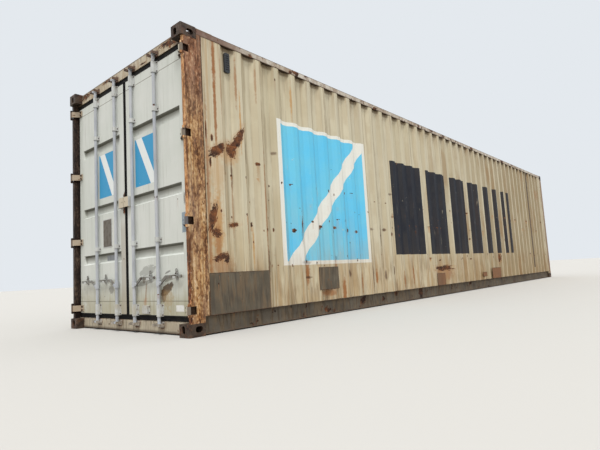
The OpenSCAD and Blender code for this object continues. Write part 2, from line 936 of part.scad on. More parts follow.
module leaf_sheet(ey) {
    color("#d3d4ca")
        at_corner(-1, ey)
            difference() {
                union() {
                    block(face_depth, face_depth + sheet_t, panel_v, panel_v1, panel_z, panel_z1);
                    intersection() {
                        for (z = recess_z)
                            recess(z, sheet_t, recess_d);
                        block(face_depth, face_depth + recess_d + eps, panel_v, panel_v1, panel_z, panel_z1);
                    }
                }
                for (z = recess_z)
                    recess(z, 0, recess_d - sheet_t);
            }
}

module leaf_seal(ey) {
    seal_u = face_depth + seal_back;
    side = leaf_gap_side - seal_clear;
    ends = leaf_gap_end - seal_clear;
    middle = (leaf_gap_mid - seal_gap_mid) / 2;
    back_u = seal_u + seal_d;
    color("#26282a")
        at_corner(-1, ey)
            difference() {
                block(seal_u, back_u, leaf_v - side, leaf_v1 + middle, leaf_z - ends, leaf_top + ends);
                block(seal_u - eps, back_u + eps, leaf_v, leaf_v1, leaf_z, leaf_top);
            }
}

// Hinge blade: eye round the pin, joggled bar and a palm flat on the leaf
module blade_plan() {
    palm_u = face_depth - blade_t / 2;
    bend_a = [pin_u, post_in + blade_bend];
    bend_b = [palm_u, post_in + blade_bend + blade_joggle];
    difference() {
        union() {
            translate([pin_u, pin_v])
                circle(d = knuckle_d);
            bar([pin_u, pin_v], bend_a, blade_t);
            bar(bend_a, bend_b, blade_t);
            bar(bend_b, [palm_u, leaf_v + stile_w - blade_end], blade_t);
        }
        translate([pin_u, pin_v])
            circle(d = pin_d + 2 * pin_gap);
    }
}

// Section of a rod bearing or guide about the rod axis
module bearing_plan() {
    foot = housing_r + bearing_foot;
    difference() {
        union() {
            circle(r = housing_r);
            plan(0, rod_out, -housing_r, housing_r);
            plan(rod_out - bearing_foot_t, rod_out, -foot, foot);
        }
        circle(d = rod_d + 2 * bearing_gap);
    }
}

grip_z = hub_z + handle_rise;
shelf_z = grip_z - handle_h / 2 - shelf_gap;
latch_z = grip_z + handle_h / 2 + latch_rise;

// Handle catch on the leaf: back plate, shelf with a front lip and two ears for the latch pin
module catch() {
    lip_u = -handle_t / 2 - shelf_lip_gap;
    back_u = rod_out - catch_t;
    hole_u = rod_out - latch_out;
    r = latch_ear_r;
    translate([0, -catch_a - catch_w / 2, 0]) {
        block(back_u, rod_out, 0, catch_w, shelf_z - shelf_t - catch_drop, latch_z + r);
        block(lip_u - catch_t, back_u, 0, catch_w, shelf_z - shelf_t, shelf_z);
        block(lip_u - catch_t, lip_u, 0, catch_w, shelf_z, shelf_z + shelf_lip_h);
        for (v = [0, catch_w - latch_ear_w])
            translate([0, v + latch_ear_w, latch_z])
                rotate([90, 0, 0])
                    linear_extrude(latch_ear_w)
                        difference() {
                            union() {
                                plan(hole_u, back_u, -r, r);
                                translate([hole_u, 0])
                                    circle(r = r);
                            }
                            translate([hole_u, 0])
                                circle(d = latch_pin_d + 2 * small_gap);
                        }
    }
}

module leaf_fittings(ey) {
    low_z = leaf_z + bearing_in;
    top_z = leaf_top - bearing_in - bearing_top_h;
    color("#b4bcc0")
        at_corner(-1, ey) {
            for (z = hinge_z)
                translate([0, 0, z - blade_h / 2])
                    linear_extrude(blade_h)
                        blade_plan();
            for (v = rod_v) {
                for (g = [[low_z, bearing_low_h], [top_z, bearing_top_h]])
                    translate([rod_u, v, g[0]])
                        linear_extrude(g[1])
                            bearing_plan();
                for (z = guide_z)
                    translate([rod_u, v, z - guide_h / 2])
                        linear_extrude(guide_h)
                            bearing_plan();
                translate([rod_u, v, 0])
                    catch();
            }
            customs_bracket();
            if (ey < 0)
                small_bracket();
            else
                plate_holder();
        }
}

// Half of the customs bracket: a stood off tongue at the free edge of each leaf, with a seal hole
module customs_bracket() {
    end_v = half_w - bridge_gap;
    low_v = panel_v1 + bridge_t;
    leg_v = low_v + bridge_t + bridge_leg_in;
    out_u = face_depth - bridge_out;
    translate([0, 0, bridge_z - bridge_h / 2])
        difference() {
            linear_extrude(bridge_h) {
                plan(out_u, out_u + bridge_t, low_v, end_v);
                for (v = [low_v, leg_v])
                    plan(out_u, face_depth, v, v + bridge_t);
            }
            translate([out_u - eps, end_v - bridge_hole_in, bridge_h / 2])
                rotate([0, 90, 0])
                    cylinder(d = seal_hole_d, h = bridge_t + 2 * eps);
        }
}

// Low bracket between the rods of the right leaf
module small_bracket() {
    mid_v = half_w - bracket_y;
    z0 = leaf_z + bracket_in;
    z1 = z0 + bracket_h;
    t = bridge_t;
    foot = bracket_w / 2;
    face = bracket_face_w / 2;
    block(face_depth - t, face_depth, mid_v - foot, mid_v + foot, z0, z1);
    block(face_depth - bracket_out, face_depth - t, mid_v - face, mid_v + face, z0 + t, z1 - t);
}

// Frame for the plate on the left leaf
module plate_holder() {
    mid_v = half_w - plate_y;
    block(face_depth - plate_t, face_depth, mid_v - plate_w / 2, mid_v + plate_w / 2,
        plate_z - plate_h / 2, plate_z + plate_h / 2);
}

// Lock rods, drawn about the rod axis with the cam nose and the handle towards low v

module cam() {
    past = 2 * cam_r;
    linear_extrude(cam_t) {
        circle(d = rod_d + 2 * cam_collar);
        intersection() {
            circle(r = cam_r);
            polygon([[0, cam_waist], [cam_waist, -cam_waist], [cam_waist, -past], [-past, -past]]);
        }
    }
}

// Collar on a rod with the two ears and the pin that carry the handle
module hub() {
    ear_u = handle_t / 2 + hub_ear_gap;
    pin_half = ear_u + hub_ear_t + pivot_head;
    translate([0, 0, -hub_h / 2])
        difference() {
            cylinder(d = hub_d, h = hub_h);
            translate([0, 0, -eps])
                cylinder(d = rod_d - eps, h = hub_h + 2 * eps);
            block(-ear_u, ear_u, -hub_d, -rod_d / 2 - eps, -eps, hub_h + eps);
        }
    for (u = [-ear_u - hub_ear_t, ear_u])
        translate([u, 0, 0])
            rotate([90, 0, 90])
                linear_extrude(hub_ear_t) {
                    translate([-pivot_a, 0])
                        circle(d = hub_ear_d);
                    translate([-pivot_a, -hub_ear_d / 2])
                        square([pivot_a - rod_d / 2 + eps, hub_ear_d]);
                }
    translate([-pin_half, -pivot_a, 0])
        rotate([0, 90, 0])
            cylinder(d = pivot_d, h = 2 * pin_half);
}

module rod(ey, which) {
    z0 = cam_z - cam_t / 2 - rod_end;
    z1 = height - cam_top + cam_t / 2 + rod_end;
    color("#9fa9b2")
        at_corner(-1, ey)
            translate([rod_u, rod_v[which], 0]) {
                difference() {
                    translate([0, 0, z0])
                        cylinder(d = rod_d, h = z1 - z0);
                    translate([0, 0, z0 + rod_plug])
                        cylinder(d = rod_d - 2 * rod_wall, h = z1 - z0 - 2 * rod_plug);
                }
                for (z = [cam_z, height - cam_top])
                    translate([0, 0, z - cam_t / 2])
                        cam();
                translate([0, 0, hub_z])
                    hub();
            }
}

// Handle: eye on the pivot, rising bar and level grip
module handle(ey, which) {
    rise = [-pivot_a - handle_slope_l, handle_rise];
    grip = [-handle_l + handle_h / 2, handle_rise];
    color("#8d979e")
        at_corner(-1, ey)
            translate([rod_u - handle_t / 2, rod_v[which], hub_z])
                rotate([90, 0, 90])
                    linear_extrude(handle_t)
                        difference() {
                            union() {
                                translate([-pivot_a, 0])
                                    circle(d = handle_eye_d);
                                bar([-pivot_a, 0], rise, handle_h);
                                bar(rise, grip, handle_h);
                            }
                            translate([-pivot_a, 0])
                                circle(d = pivot_d + 2 * small_gap);
                        }
}

// Latch flap standing up behind the handle, with a seal hole, on its own pin
module latch(ey, which) {
    flap_w = catch_w - 2 * (latch_ear_w + 1);
    eye_d = latch_pin_d + latch_t;
    color("#7f6a58")
        at_corner(-1, ey)
            translate([rod_u + rod_out - latch_out, rod_v[which] - catch_a, latch_z]) {
                translate([0, -catch_w / 2 - latch_t, 0])
                    rotate([-90, 0, 0])
                        cylinder(d = latch_pin_d, h = catch_w + 2 * latch_t);
                translate([0, -flap_w / 2, 0])
                    rotate([-90, 0, 0])
                        cylinder(d = eye_d, h = flap_w);
                translate([-latch_t / 2, 0, 0])
                    rotate([90, 0, 90])
                        linear_extrude(latch_t)
                            difference() {
                                union() {
                                    translate([-flap_w / 2, 0])
                                        square([flap_w, latch_l - flap_w / 2]);
                                    translate([0, latch_l - flap_w / 2])
                                        circle(d = flap_w);
                                }
                                translate([0, latch_l - flap_w / 2])
                                    circle(d = seal_hole_d);
                            }
            }
}

// Fittings on the walls

// Vent hood with a slotted face, seated in a recess of the side wall
module vent() {
    each_side = floor((vent_h / 2 - vent_r) / vent_pitch);
    difference() {
        linear_extrude(vent_d)
            translate([-vent_w / 2, -vent_h / 2])
                round_rect(vent_w, vent_h, vent_r);
        for (i = [-each_side : each_side])
            translate([0, i * vent_pitch, vent_d - vent_slot])
                linear_extrude(vent_slot + eps)
                    slot(vent_w - 2 * vent_rim, vent_slot);
    }
}

module side_vents() {
    mid = post_end_u + wall_start + (side_pitch - side_flat) / 2;
    color("#8b8266")
        for (p = [[-1, mid], [1, mid + (wall_count - 1) * side_pitch]])
            at_corner(-1, p[0])
                translate([p[1], wall_v + side_depth, height - vent_drop])
                    rotate([90, 0, 0])
                        vent();
}

// One repair plate welded on the outer flats of the right side wall
module patch(x, p) {
    translate([x, -half_w + wall_v - patch_t, sill_rail_z + p[2]])
        cube([p[1], patch_t, p[3]]);
}

module repair_plates() {
    color("#8c8478") {
        for (p = [patch_a, patch_b, patch_c])
            patch(-half_l + p[0], p);
        for (p = [patch_d, patch_e])
            patch(half_l - p[0] - p[1], p);
    }
}

casting(-1, -1, false);  // casting_rear_right_low
casting(-1, 1, false);  // casting_rear_left_low
casting(1, -1, false);  // casting_front_right_low
casting(1, 1, false);  // casting_front_left_low
casting(-1, -1, true);  // casting_rear_right_top
casting(-1, 1, true);  // casting_rear_left_top
casting(1, -1, true);  // casting_front_right_top
casting(1, 1, true);  // casting_front_left_top
rear_post(-1);  // rear_post_right
rear_post(1);  // rear_post_left
front_post(-1);  // front_post_right
front_post(1);  // front_post_left
door_header();
door_sill();
front_top_rail();
front_bottom_rail();
top_side_rail(-1);  // top_side_rail_right
top_side_rail(1);  // top_side_rail_left
bottom_side_rail(-1);  // bottom_side_rail_right
bottom_side_rail(1);  // bottom_side_rail_left
side_wall(-1);  // side_wall_right
side_wall(1);  // side_wall_left
roof_panel();
front_wall();
floor_panels();
cross_members();
gooseneck_tunnel();
hinge_lugs();
rod_keepers();
side_vents();
repair_plates();
leaf_frame(-1);  // door_right_frame
leaf_sheet(-1);  // door_right_sheet
leaf_seal(-1);  // door_right_seal
leaf_fittings(-1);  // door_right_fittings
leaf_frame(1);  // door_left_frame
leaf_sheet(1);  // door_left_sheet
leaf_seal(1);  // door_left_seal
leaf_fittings(1);  // door_left_fittings
rod(-1, outer);  // rod_right_outer
rod(-1, inner);  // rod_right_inner
rod(1, inner);  // rod_left_inner
rod(1, outer);  // rod_left_outer
handle(-1, outer);  // handle_right_outer
handle(-1, inner);  // handle_right_inner
handle(1, inner);  // handle_left_inner
handle(1, outer);  // handle_left_outer
latch(-1, outer);  // latch_right_outer
latch(-1, inner);  // latch_right_inner
latch(1, inner);  // latch_left_inner
latch(1, outer);  // latch_left_outer
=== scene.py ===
import math

import bmesh
import bpy
from mathutils import Euler, Matrix, Vector


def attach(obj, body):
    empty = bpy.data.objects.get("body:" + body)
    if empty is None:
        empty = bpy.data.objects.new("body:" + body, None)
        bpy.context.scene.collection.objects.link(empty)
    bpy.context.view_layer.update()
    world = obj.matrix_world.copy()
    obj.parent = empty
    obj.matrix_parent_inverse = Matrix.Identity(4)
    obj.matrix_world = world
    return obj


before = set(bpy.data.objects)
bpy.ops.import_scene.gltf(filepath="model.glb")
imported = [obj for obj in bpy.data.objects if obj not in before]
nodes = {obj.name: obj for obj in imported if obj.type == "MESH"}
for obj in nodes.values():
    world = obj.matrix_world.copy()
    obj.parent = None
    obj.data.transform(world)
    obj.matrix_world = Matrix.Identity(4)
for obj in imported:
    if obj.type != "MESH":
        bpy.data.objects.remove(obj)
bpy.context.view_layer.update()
print("frame loaded with", len(nodes), "CAD nodes")

doorFace = -6.006  # outer face of the door leaves, which are at the -X end
hingeHeights = (0.235, 1.033, 1.845, 2.656)


def screen(red, green, blue):  # a screen colour, 0-255, as the renderer's linear one
    parts = [c / 255 for c in (red, green, blue)]
    return tuple(c / 12.92 if c <= 0.04045 else ((c + 0.055) / 1.055) ** 2.4 for c in parts) + (1.0,)


# shader node helpers

def wire(tree, socket, value):
    if isinstance(value, bpy.types.NodeSocket):
        tree.links.new(value, socket)
    else:
        socket.default_value = value


def shade(tree, kind, wires=None, **settings):
    made = tree.nodes.new(kind)
    for name, value in settings.items():
        setattr(made, name, value)
    for name, value in (wires or {}).items():
        wire(tree, made.inputs[name], value)
    return made


def calc(tree, operation, first, second=0.0, third=0.0):
    return shade(tree, "ShaderNodeMath", {0: first, 1: second, 2: third}, operation=operation).outputs[0]


def vectorCalc(tree, operation, first, second):
    made = shade(tree, "ShaderNodeVectorMath", {0: first, 1: second}, operation=operation)
    return made.outputs["Value" if operation in ("LENGTH", "DOT_PRODUCT") else "Vector"]


def ease(tree, value, low, high):  # 0 at low, 1 at high, smooth between
    made = shade(tree, "ShaderNodeMapRange", {"Value": value, "From Min": low, "From Max": high},
        interpolation_type="SMOOTHSTEP")
    return made.outputs["Result"]


def coat(tree, mask, under, over):  # over covers under where the mask is 1
    made = shade(tree, "ShaderNodeMix", {0: mask, 6: under, 7: over}, data_type="RGBA")
    return made.outputs[2]


def grain(tree, where, scale, detail=3.0, rough=0.55, warp=0.0):
    made = shade(tree, "ShaderNodeTexNoise", {"Vector": where, "Scale": scale, "Detail": detail,
        "Roughness": rough, "Distortion": warp})
    return made.outputs["Fac"]


def split(tree, where):
    return shade(tree, "ShaderNodeSeparateXYZ", {0: where}).outputs


def ramp(tree, value, stops):  # stops are (place, colour) pairs
    made = shade(tree, "ShaderNodeValToRGB", {"Fac": value})
    band = made.color_ramp.elements
    while len(band) < len(stops):
        band.new(0.5)
    for element, (place, colour) in zip(band, stops):
        element.position = place
        element.color = colour
    return made.outputs["Color"]


def newGroup(name, inputs, outputs):
    tree = bpy.data.node_groups.new(name, "ShaderNodeTree")
    for label, value in inputs.items():
        kind = "Vector" if isinstance(value, tuple) else "Float"
        tree.interface.new_socket(name=label, in_out="INPUT",
            socket_type="NodeSocket" + kind).default_value = value
    for label, kind in outputs.items():
        tree.interface.new_socket(name=label, in_out="OUTPUT", socket_type="NodeSocket" + kind)
    given = tree.nodes.new("NodeGroupInput").outputs
    results = tree.nodes.new("NodeGroupOutput").inputs
    return tree, given, results


def use(tree, group, wires):
    made = tree.nodes.new("ShaderNodeGroup")
    made.node_tree = group
    for name, value in wires.items():
        wire(tree, made.inputs[name], value)
    return made.outputs


# effects that several finishes share

def cut(tree, field, cover, edge):  # keeps about the share of a noise that cover asks for
    level = calc(tree, "MULTIPLY_ADD", cover, -0.5, 0.75)
    return ease(tree, field, calc(tree, "SUBTRACT", level, edge), calc(tree, "ADD", level, edge))


def makeBlotches():  # soft-edged patches over a share of the surface
    tree, given, results = newGroup("blotches", {"Place": (0.0, 0.0, 0.0), "Scale": 1.0, "Cover": 0.3,
        "Edge": 0.05}, {"Mask": "Float"})
    field = grain(tree, given["Place"], given["Scale"], 6.0, 0.6)
    wire(tree, results["Mask"], cut(tree, field, given["Cover"], given["Edge"]))
    return tree


def makeStreaks():  # runs that rain leaves down an upright face
    tree, given, results = newGroup("rainStreaks", {"Place": (0.0, 0.0, 0.0), "Width": 0.05, "Length": 1.0,
        "Cover": 0.3, "Edge": 0.06}, {"Mask": "Float"})
    x, y, z = split(tree, given["Place"])
    across = calc(tree, "DIVIDE", calc(tree, "ADD", x, y), given["Width"])
    down = calc(tree, "DIVIDE", z, given["Length"])
    spot = shade(tree, "ShaderNodeCombineXYZ", {"X": across, "Y": down}).outputs[0]
    field = grain(tree, spot, 1.0, 4.0, 0.55)
    wire(tree, results["Mask"], cut(tree, field, given["Cover"], given["Edge"]))
    return tree


def makeWornEdges():  # 1 along outer and inner edges, broken up
    tree, given, results = newGroup("wornEdges", {"Place": (0.0, 0.0, 0.0), "Radius": 0.006, "Wear": 0.5},
        {"Mask": "Float"})
    rounded = shade(tree, "ShaderNodeBevel", {"Radius": given["Radius"]}, samples=4).outputs["Normal"]
    flat = tree.nodes.new("ShaderNodeNewGeometry").outputs["True Normal"]
    turn = calc(tree, "SUBTRACT", 1.0, vectorCalc(tree, "DOT_PRODUCT", rounded, flat))
    edge = ease(tree, turn, 0.01, 0.16)
    broken = cut(tree, grain(tree, given["Place"], 18.0, 5.0, 0.65), given["Wear"], 0.04)
    wire(tree, results["Mask"], calc(tree, "MULTIPLY", edge, broken))
    return tree


def makeRust():  # colour and height of scaled rust
    tree, given, results = newGroup("rustScale", {"Place": (0.0, 0.0, 0.0), "Scale": 6.0, "Lightness": 0.5},
        {"Color": "Color", "Height": "Float"})
    broad = grain(tree, given["Place"], given["Scale"], 6.0, 0.62)
    fine = grain(tree, given["Place"], calc(tree, "MULTIPLY", given["Scale"], 7.0), 4.0, 0.6)
    mixed = calc(tree, "MULTIPLY_ADD", fine, 0.45, calc(tree, "MULTIPLY", broad, 0.75))
    shifted = calc(tree, "ADD", mixed, calc(tree, "MULTIPLY_ADD", given["Lightness"], 0.3, -0.25))
    colour = ramp(tree, shifted, ((0.36, screen(48, 34, 28)), (0.47, screen(92, 60, 42)),
        (0.57, screen(134, 84, 50)), (0.68, screen(168, 112, 66)), (0.82, screen(196, 150, 104))))
    wire(tree, results["Color"], colour)
    wire(tree, results["Height"], mixed)
    return tree


def makeChips():  # scattered rust chips, each with a run below it
    tree, given, results = newGroup("chipsAndRuns", {"Place": (0.0, 0.0, 0.0), "Spacing": 0.3, "Size": 0.02,
        "Length": 0.4, "Share": 0.4}, {"Chip": "Float", "Run": "Float"})
    x, y, z = split(tree, given["Place"])
    flat = shade(tree, "ShaderNodeCombineXYZ", {"X": calc(tree, "ADD", x, y),
        "Y": calc(tree, "MULTIPLY", z, 0.6)}).outputs[0]
    cells = shade(tree, "ShaderNodeTexVoronoi", {"Vector": flat, "Scale": calc(tree, "DIVIDE", 1.0,
        given["Spacing"])}, voronoi_dimensions="2D")
    offset = split(tree, vectorCalc(tree, "SUBTRACT", flat, cells.outputs["Position"]))
    chance = split(tree, cells.outputs["Color"])
    there = calc(tree, "LESS_THAN", chance[0], given["Share"])
    wobble = calc(tree, "SUBTRACT", grain(tree, given["Place"], 45.0, 4.0, 0.65), 0.5)
    size = calc(tree, "MULTIPLY", given["Size"], calc(tree, "MULTIPLY_ADD", chance[1], 1.2, 0.3))
    apart = calc(tree, "SQRT", calc(tree, "ADD", calc(tree, "POWER", offset[0], 2.0),
        calc(tree, "POWER", calc(tree, "MULTIPLY", offset[1], 1.1), 2.0)))
    apart = calc(tree, "ADD", apart, calc(tree, "MULTIPLY", wobble, calc(tree, "MULTIPLY", size, 2.4)))
    chip = calc(tree, "MULTIPLY", there, ease(tree, apart, size, calc(tree, "MULTIPLY", size, 0.7)))
    sway = calc(tree, "ABSOLUTE", calc(tree, "ADD", offset[0], calc(tree, "MULTIPLY", wobble, 0.012)))
    thin = ease(tree, sway, calc(tree, "MULTIPLY", size, 0.75), calc(tree, "MULTIPLY", size, 0.2))
    fall = calc(tree, "DIVIDE", offset[1], calc(tree, "MULTIPLY", given["Length"], -0.6))
    fade = calc(tree, "MULTIPLY", calc(tree, "GREATER_THAN", fall, 0.0), ease(tree, fall, 1.0, 0.0))
    run = calc(tree, "MULTIPLY", there, calc(tree, "MULTIPLY", thin, fade))
    wire(tree, results["Chip"], chip)
    wire(tree, results["Run"], run)
    return tree


def makeMark():  # one ragged mark at a known place: Round is an oval, Halo its stain, Square a panel
    tree, given, results = newGroup("placedMark", {"Place": (0.0, 0.0, 0.0), "Centre": (0.0, 0.0, 0.0),
        "Reach": (1.0, 1.0, 1.0), "Turn": (0.0, 0.0, 0.0), "Ragged": 0.3},
        {"Round": "Float", "Halo": "Float", "Square": "Float"})
    offset = vectorCalc(tree, "SUBTRACT", given["Place"], given["Centre"])
    turned = shade(tree, "ShaderNodeVectorRotate", {"Vector": offset, "Rotation": given["Turn"]},
        rotation_type="EULER_XYZ").outputs[0]
    local = vectorCalc(tree, "DIVIDE", turned, given["Reach"])
    own = vectorCalc(tree, "ADD", local, vectorCalc(tree, "MULTIPLY", given["Centre"], (7.0, 7.0, 7.0)))
    wobble = calc(tree, "MULTIPLY", calc(tree, "SUBTRACT", grain(tree, own, 2.2, 7.0, 0.72), 0.5),
        calc(tree, "MULTIPLY", given["Ragged"], 6.0))
    far = calc(tree, "ADD", vectorCalc(tree, "LENGTH", local, (0.0, 0.0, 0.0)), wobble)
    wire(tree, results["Round"], ease(tree, far, 1.0, 0.86))
    wire(tree, results["Halo"], ease(tree, far, 1.8, 0.7))
    x, y, z = split(tree, vectorCalc(tree, "ABSOLUTE", local, (0.0, 0.0, 0.0)))
    edge = calc(tree, "ADD", calc(tree, "MAXIMUM", x, calc(tree, "MAXIMUM", y, z)),
        calc(tree, "MULTIPLY", wobble, 0.2))
    wire(tree, results["Square"], calc(tree, "LESS_THAN", edge, 1.0))
    return tree


def makeSmallMark():  # a soft oval at a known place; Wobble is a shared noise that breaks its edge
    tree, given, results = newGroup("smallMark", {"Place": (0.0, 0.0, 0.0), "Centre": (0.0, 0.0, 0.0),
        "Reach": (1.0, 1.0, 1.0), "Wobble": 0.0, "Soft": 0.3}, {"Mask": "Float"})
    offset = vectorCalc(tree, "SUBTRACT", given["Place"], given["Centre"])
    local = vectorCalc(tree, "DIVIDE", offset, given["Reach"])
    far = calc(tree, "ADD", vectorCalc(tree, "LENGTH", local, (0.0, 0.0, 0.0)), given["Wobble"])
    wire(tree, results["Mask"], ease(tree, far, 1.0, calc(tree, "SUBTRACT", 1.0, given["Soft"])))
    return tree


blotches = makeBlotches()
rainStreaks = makeStreaks()
wornEdges = makeWornEdges()
rustScale = makeRust()
chipsAndRuns = makeChips()
placedMark = makeMark()
smallMark = makeSmallMark()
print("shared shader groups made")


# finishes

def newMaterial(name):
    material = bpy.data.materials.new(name)
    material.use_nodes = True
    tree = material.node_tree
    place = shade(tree, "ShaderNodeTexCoord").outputs["Object"]
    return material, tree, tree.nodes["Principled BSDF"], place


def relief(tree, shader, height, strength, distance):
    bump = shade(tree, "ShaderNodeBump", {"Strength": strength, "Distance": distance, "Height": height})
    wire(tree, shader.inputs["Normal"], bump.outputs["Normal"])


def total(tree, masks):  # 1 where any mask is
    result = masks[0]
    for mask in masks[1:]:
        result = calc(tree, "MAXIMUM", result, mask)
    return result


def both(tree, *masks):  # 1 where every mask is
    result = masks[0]
    for mask in masks[1:]:
        result = calc(tree, "MULTIPLY", result, mask)
    return result


def wash(tree, colour, kind, *masks):  # kind is a tone and how strongly it covers
    tone, strength = kind
    return coat(tree, both(tree, *masks, strength), colour, tone)


def patches(tree, place, scale, cover, edge):
    return use(tree, blotches, {"Place": place, "Scale": scale, "Cover": cover, "Edge": edge})["Mask"]


def rain(tree, place, width, length, cover, edge):
    return use(tree, rainStreaks, {"Place": place, "Width": width, "Length": length, "Cover": cover,
        "Edge": edge})["Mask"]


def stretched(tree, place, along):  # the place scaled per axis, so that a noise is drawn out
    return vectorCalc(tree, "MULTIPLY", place, along)


def inside(tree, value, low, high):
    return calc(tree, "COMPARE", value, (low + high) / 2, (high - low) / 2)


def facing(tree, axis):  # the outward direction of a face, one axis of it
    return split(tree, shade(tree, "ShaderNodeTexCoord").outputs["Normal"])[axis]


def outward(tree, axis, place):  # 1 on a face that looks away from the box, 0 on the inner one
    return calc(tree, "GREATER_THAN", calc(tree, "MULTIPLY", facing(tree, axis),
        split(tree, place)[axis]), 0.02)


def flatPlace(tree, place, axis):  # the place with one axis taken out
    return stretched(tree, place, tuple(0.0 if index == axis else 1.0 for index in range(3)))


def markAt(tree, flat, axis, centre, reach, ragged, turn=0.0):  # a placed mark; axis is the one taken out
    whole = lambda pair, rest: pair[:axis] + (rest,) + pair[axis:]
    return use(tree, placedMark, {"Place": flat, "Centre": whole(centre, 0.0), "Reach": whole(reach, 1.0),
        "Turn": whole((0.0, 0.0), math.radians(turn)), "Ragged": ragged})


def streaked(tree, place, colour, streaks, edge):
    z = split(tree, place)[2]
    for streak in streaks:
        mask = rain(tree, place, streak["width"], streak["length"], streak["cover"], edge)
        if "height" in streak:  # none at the first height, full at the second
            mask = both(tree, mask, ease(tree, z, *streak["height"]))
        colour = wash(tree, colour, (streak["tone"], streak["strength"]), mask)
    return colour


def paintedSteel(name, look, artwork=None, marks=None):
    material, tree, shader, place = newMaterial(name)
    colour = coat(tree, patches(tree, place, look["toneScale"], 0.5, 0.16), look["paint"],
        look["paintAged"])
    colour = streaked(tree, place, colour, look["bands"], look["bandEdge"])
    if artwork:
        colour, covered = artwork(tree, place, colour)
        drawn = colour
    colour = streaked(tree, place, colour, look["streaks"], look["streakEdge"])
    chips = use(tree, chipsAndRuns, {"Place": place, "Spacing": look["chipSpacing"],
        "Size": look["chipSize"],
        "Length": look["runLength"], "Share": look["chipShare"]})
    colour = wash(tree, colour, look["chipRuns"], chips["Run"])
    edges = use(tree, wornEdges, {"Place": place, "Radius": look["edgeRadius"],
        "Wear": look["edgeWear"]})["Mask"]
    bare = patches(tree, place, look["rustScale"], look["rustCover"], 0.015)
    spots = [chips["Chip"], edges, bare]
    if marks:
        colour, placed = marks(tree, place, colour)
        spots += placed
    if artwork:  # its own paint shows less of the dirt
        colour = wash(tree, colour, (drawn, look["artworkClean"]), covered)
    rustMask = total(tree, spots)
    rust = use(tree, rustScale, {"Place": place, "Scale": look["rustGrain"],
        "Lightness": look["rustLight"]})
    colour = coat(tree, rustMask, colour, rust["Color"])
    under = ease(tree, facing(tree, 2), *look["underShadeFacing"])  # painted shade on the faces that look down
    colour = wash(tree, colour, (look["underTone"], look["under"]), under)
    wire(tree, shader.inputs["Base Color"], colour)
    gloss = calc(tree, "MULTIPLY_ADD", grain(tree, place, 9.0, 4.0), 0.16, look["roughness"] - 0.08)
    rough = calc(tree, "MAXIMUM", gloss, calc(tree, "MULTIPLY", rustMask, 0.9))
    wire(tree, shader.inputs["Roughness"], rough)
    shader.inputs["Specular IOR Level"].default_value = 0.35
    surface = calc(tree, "MULTIPLY_ADD", grain(tree, place, look["peel"], 3.0), 0.25,
        calc(tree, "MULTIPLY", rustMask, calc(tree, "SUBTRACT", rust["Height"], 0.9)))
    relief(tree, shader, surface, 0.6, look["depth"])
    return material


def look(**changes):  # the usual paint values, with what differs
    values = {"paint": screen(203, 194, 169), "paintAged": screen(192, 182, 155), "toneScale": 0.9,
        "bands": (), "streaks": (), "chipSpacing": 0.35, "chipSize": 0.016, "runLength": 0.35,
        "chipShare": 0.35, "edgeRadius": 0.005, "edgeWear": 0.5, "rustScale": 4.0, "rustCover": 0.12,
        # under: how strongly painted shade darkens the faces that look down, with its tone and which faces
        "rustGrain": 14.0, "rustLight": 0.45, "under": 0.6, "underTone": screen(84, 74, 60),
        "underShadeFacing": (-0.25, -0.65), "bandEdge": 0.14, "streakEdge": 0.07, "artworkClean": 0.88,
        "chipRuns": (screen(160, 112, 68), 0.6), "roughness": 0.62, "peel": 60.0, "depth": 0.004}
    values.update(changes)
    return values


def slant(tree, along, z, lean):  # a coordinate that leans forward as it rises
    return calc(tree, "MULTIPLY_ADD", z, -lean, along)


sideMotif = {
    "blue": screen(96, 206, 250),
    "blueFaded": screen(120, 212, 240),
    "white": screen(240, 240, 232),
    "navy": screen(24, 30, 43),
    "panel": (-4.866, -3.135),
    "panelZ": (0.60, 2.24),
    "rim": (0.063, 0.045),
    "lean": 0.90,
    "slash": (-5.33, -5.09),  # where its slanted edges would meet the ground
    "bars": ((-2.42, 0.92), (-1.28, 0.78), (-0.28, 0.64), (0.58, 0.52), (1.32, 0.40), (1.94, 0.29),
        (2.45, 0.20), (2.87, 0.12)),  # start and width
    "barsZ": (0.70, 2.12),
    "wear": 0.05,
    "fading": (1.6, 0.5, 0.2),
    "dirtyZ": (0.7, 1.7),  # the panel shows more dirt below this
}


def wornArt(tree, place, wear):  # where weather has left the artwork's paint
    scuffs = rain(tree, place, 0.030, 0.40, wear, 0.04)
    flakes = patches(tree, place, 22.0, wear, 0.03)
    return calc(tree, "SUBTRACT", 1.0, calc(tree, "MAXIMUM", scuffs, flakes))


def paintSides(tree, place, colour):
    x, _, z = split(tree, place)
    low, high = sideMotif["panel"]
    zLow, zHigh = sideMotif["panelZ"]
    rim, rimZ = sideMotif["rim"]
    whole = both(tree, inside(tree, x, low, high), inside(tree, z, zLow, zHigh))
    core = both(tree, inside(tree, x, low + rim, high - rim), inside(tree, z, zLow + rimZ, zHigh - rimZ))
    slash = inside(tree, slant(tree, x, z, sideMotif["lean"]), *sideMotif["slash"])
    bars = total(tree, [inside(tree, x, start, start + width) for start, width in sideMotif["bars"]])
    bars = both(tree, bars, inside(tree, z, *sideMotif["barsZ"]))
    blue = coat(tree, patches(tree, place, *sideMotif["fading"]), sideMotif["blue"], sideMotif["blueFaded"])
    keep = both(tree, wornArt(tree, place, sideMotif["wear"]), outward(tree, 1, place))
    colour = coat(tree, both(tree, whole, keep), colour, sideMotif["white"])
    colour = coat(tree, both(tree, core, keep, calc(tree, "SUBTRACT", 1.0, slash)), colour, blue)
    colour = coat(tree, both(tree, bars, keep), colour, sideMotif["navy"])
    shown = calc(tree, "MULTIPLY_ADD", ease(tree, z, *sideMotif["dirtyZ"]), 0.5, 0.5)
    return colour, both(tree, total(tree, [both(tree, whole, shown), bars]), keep)


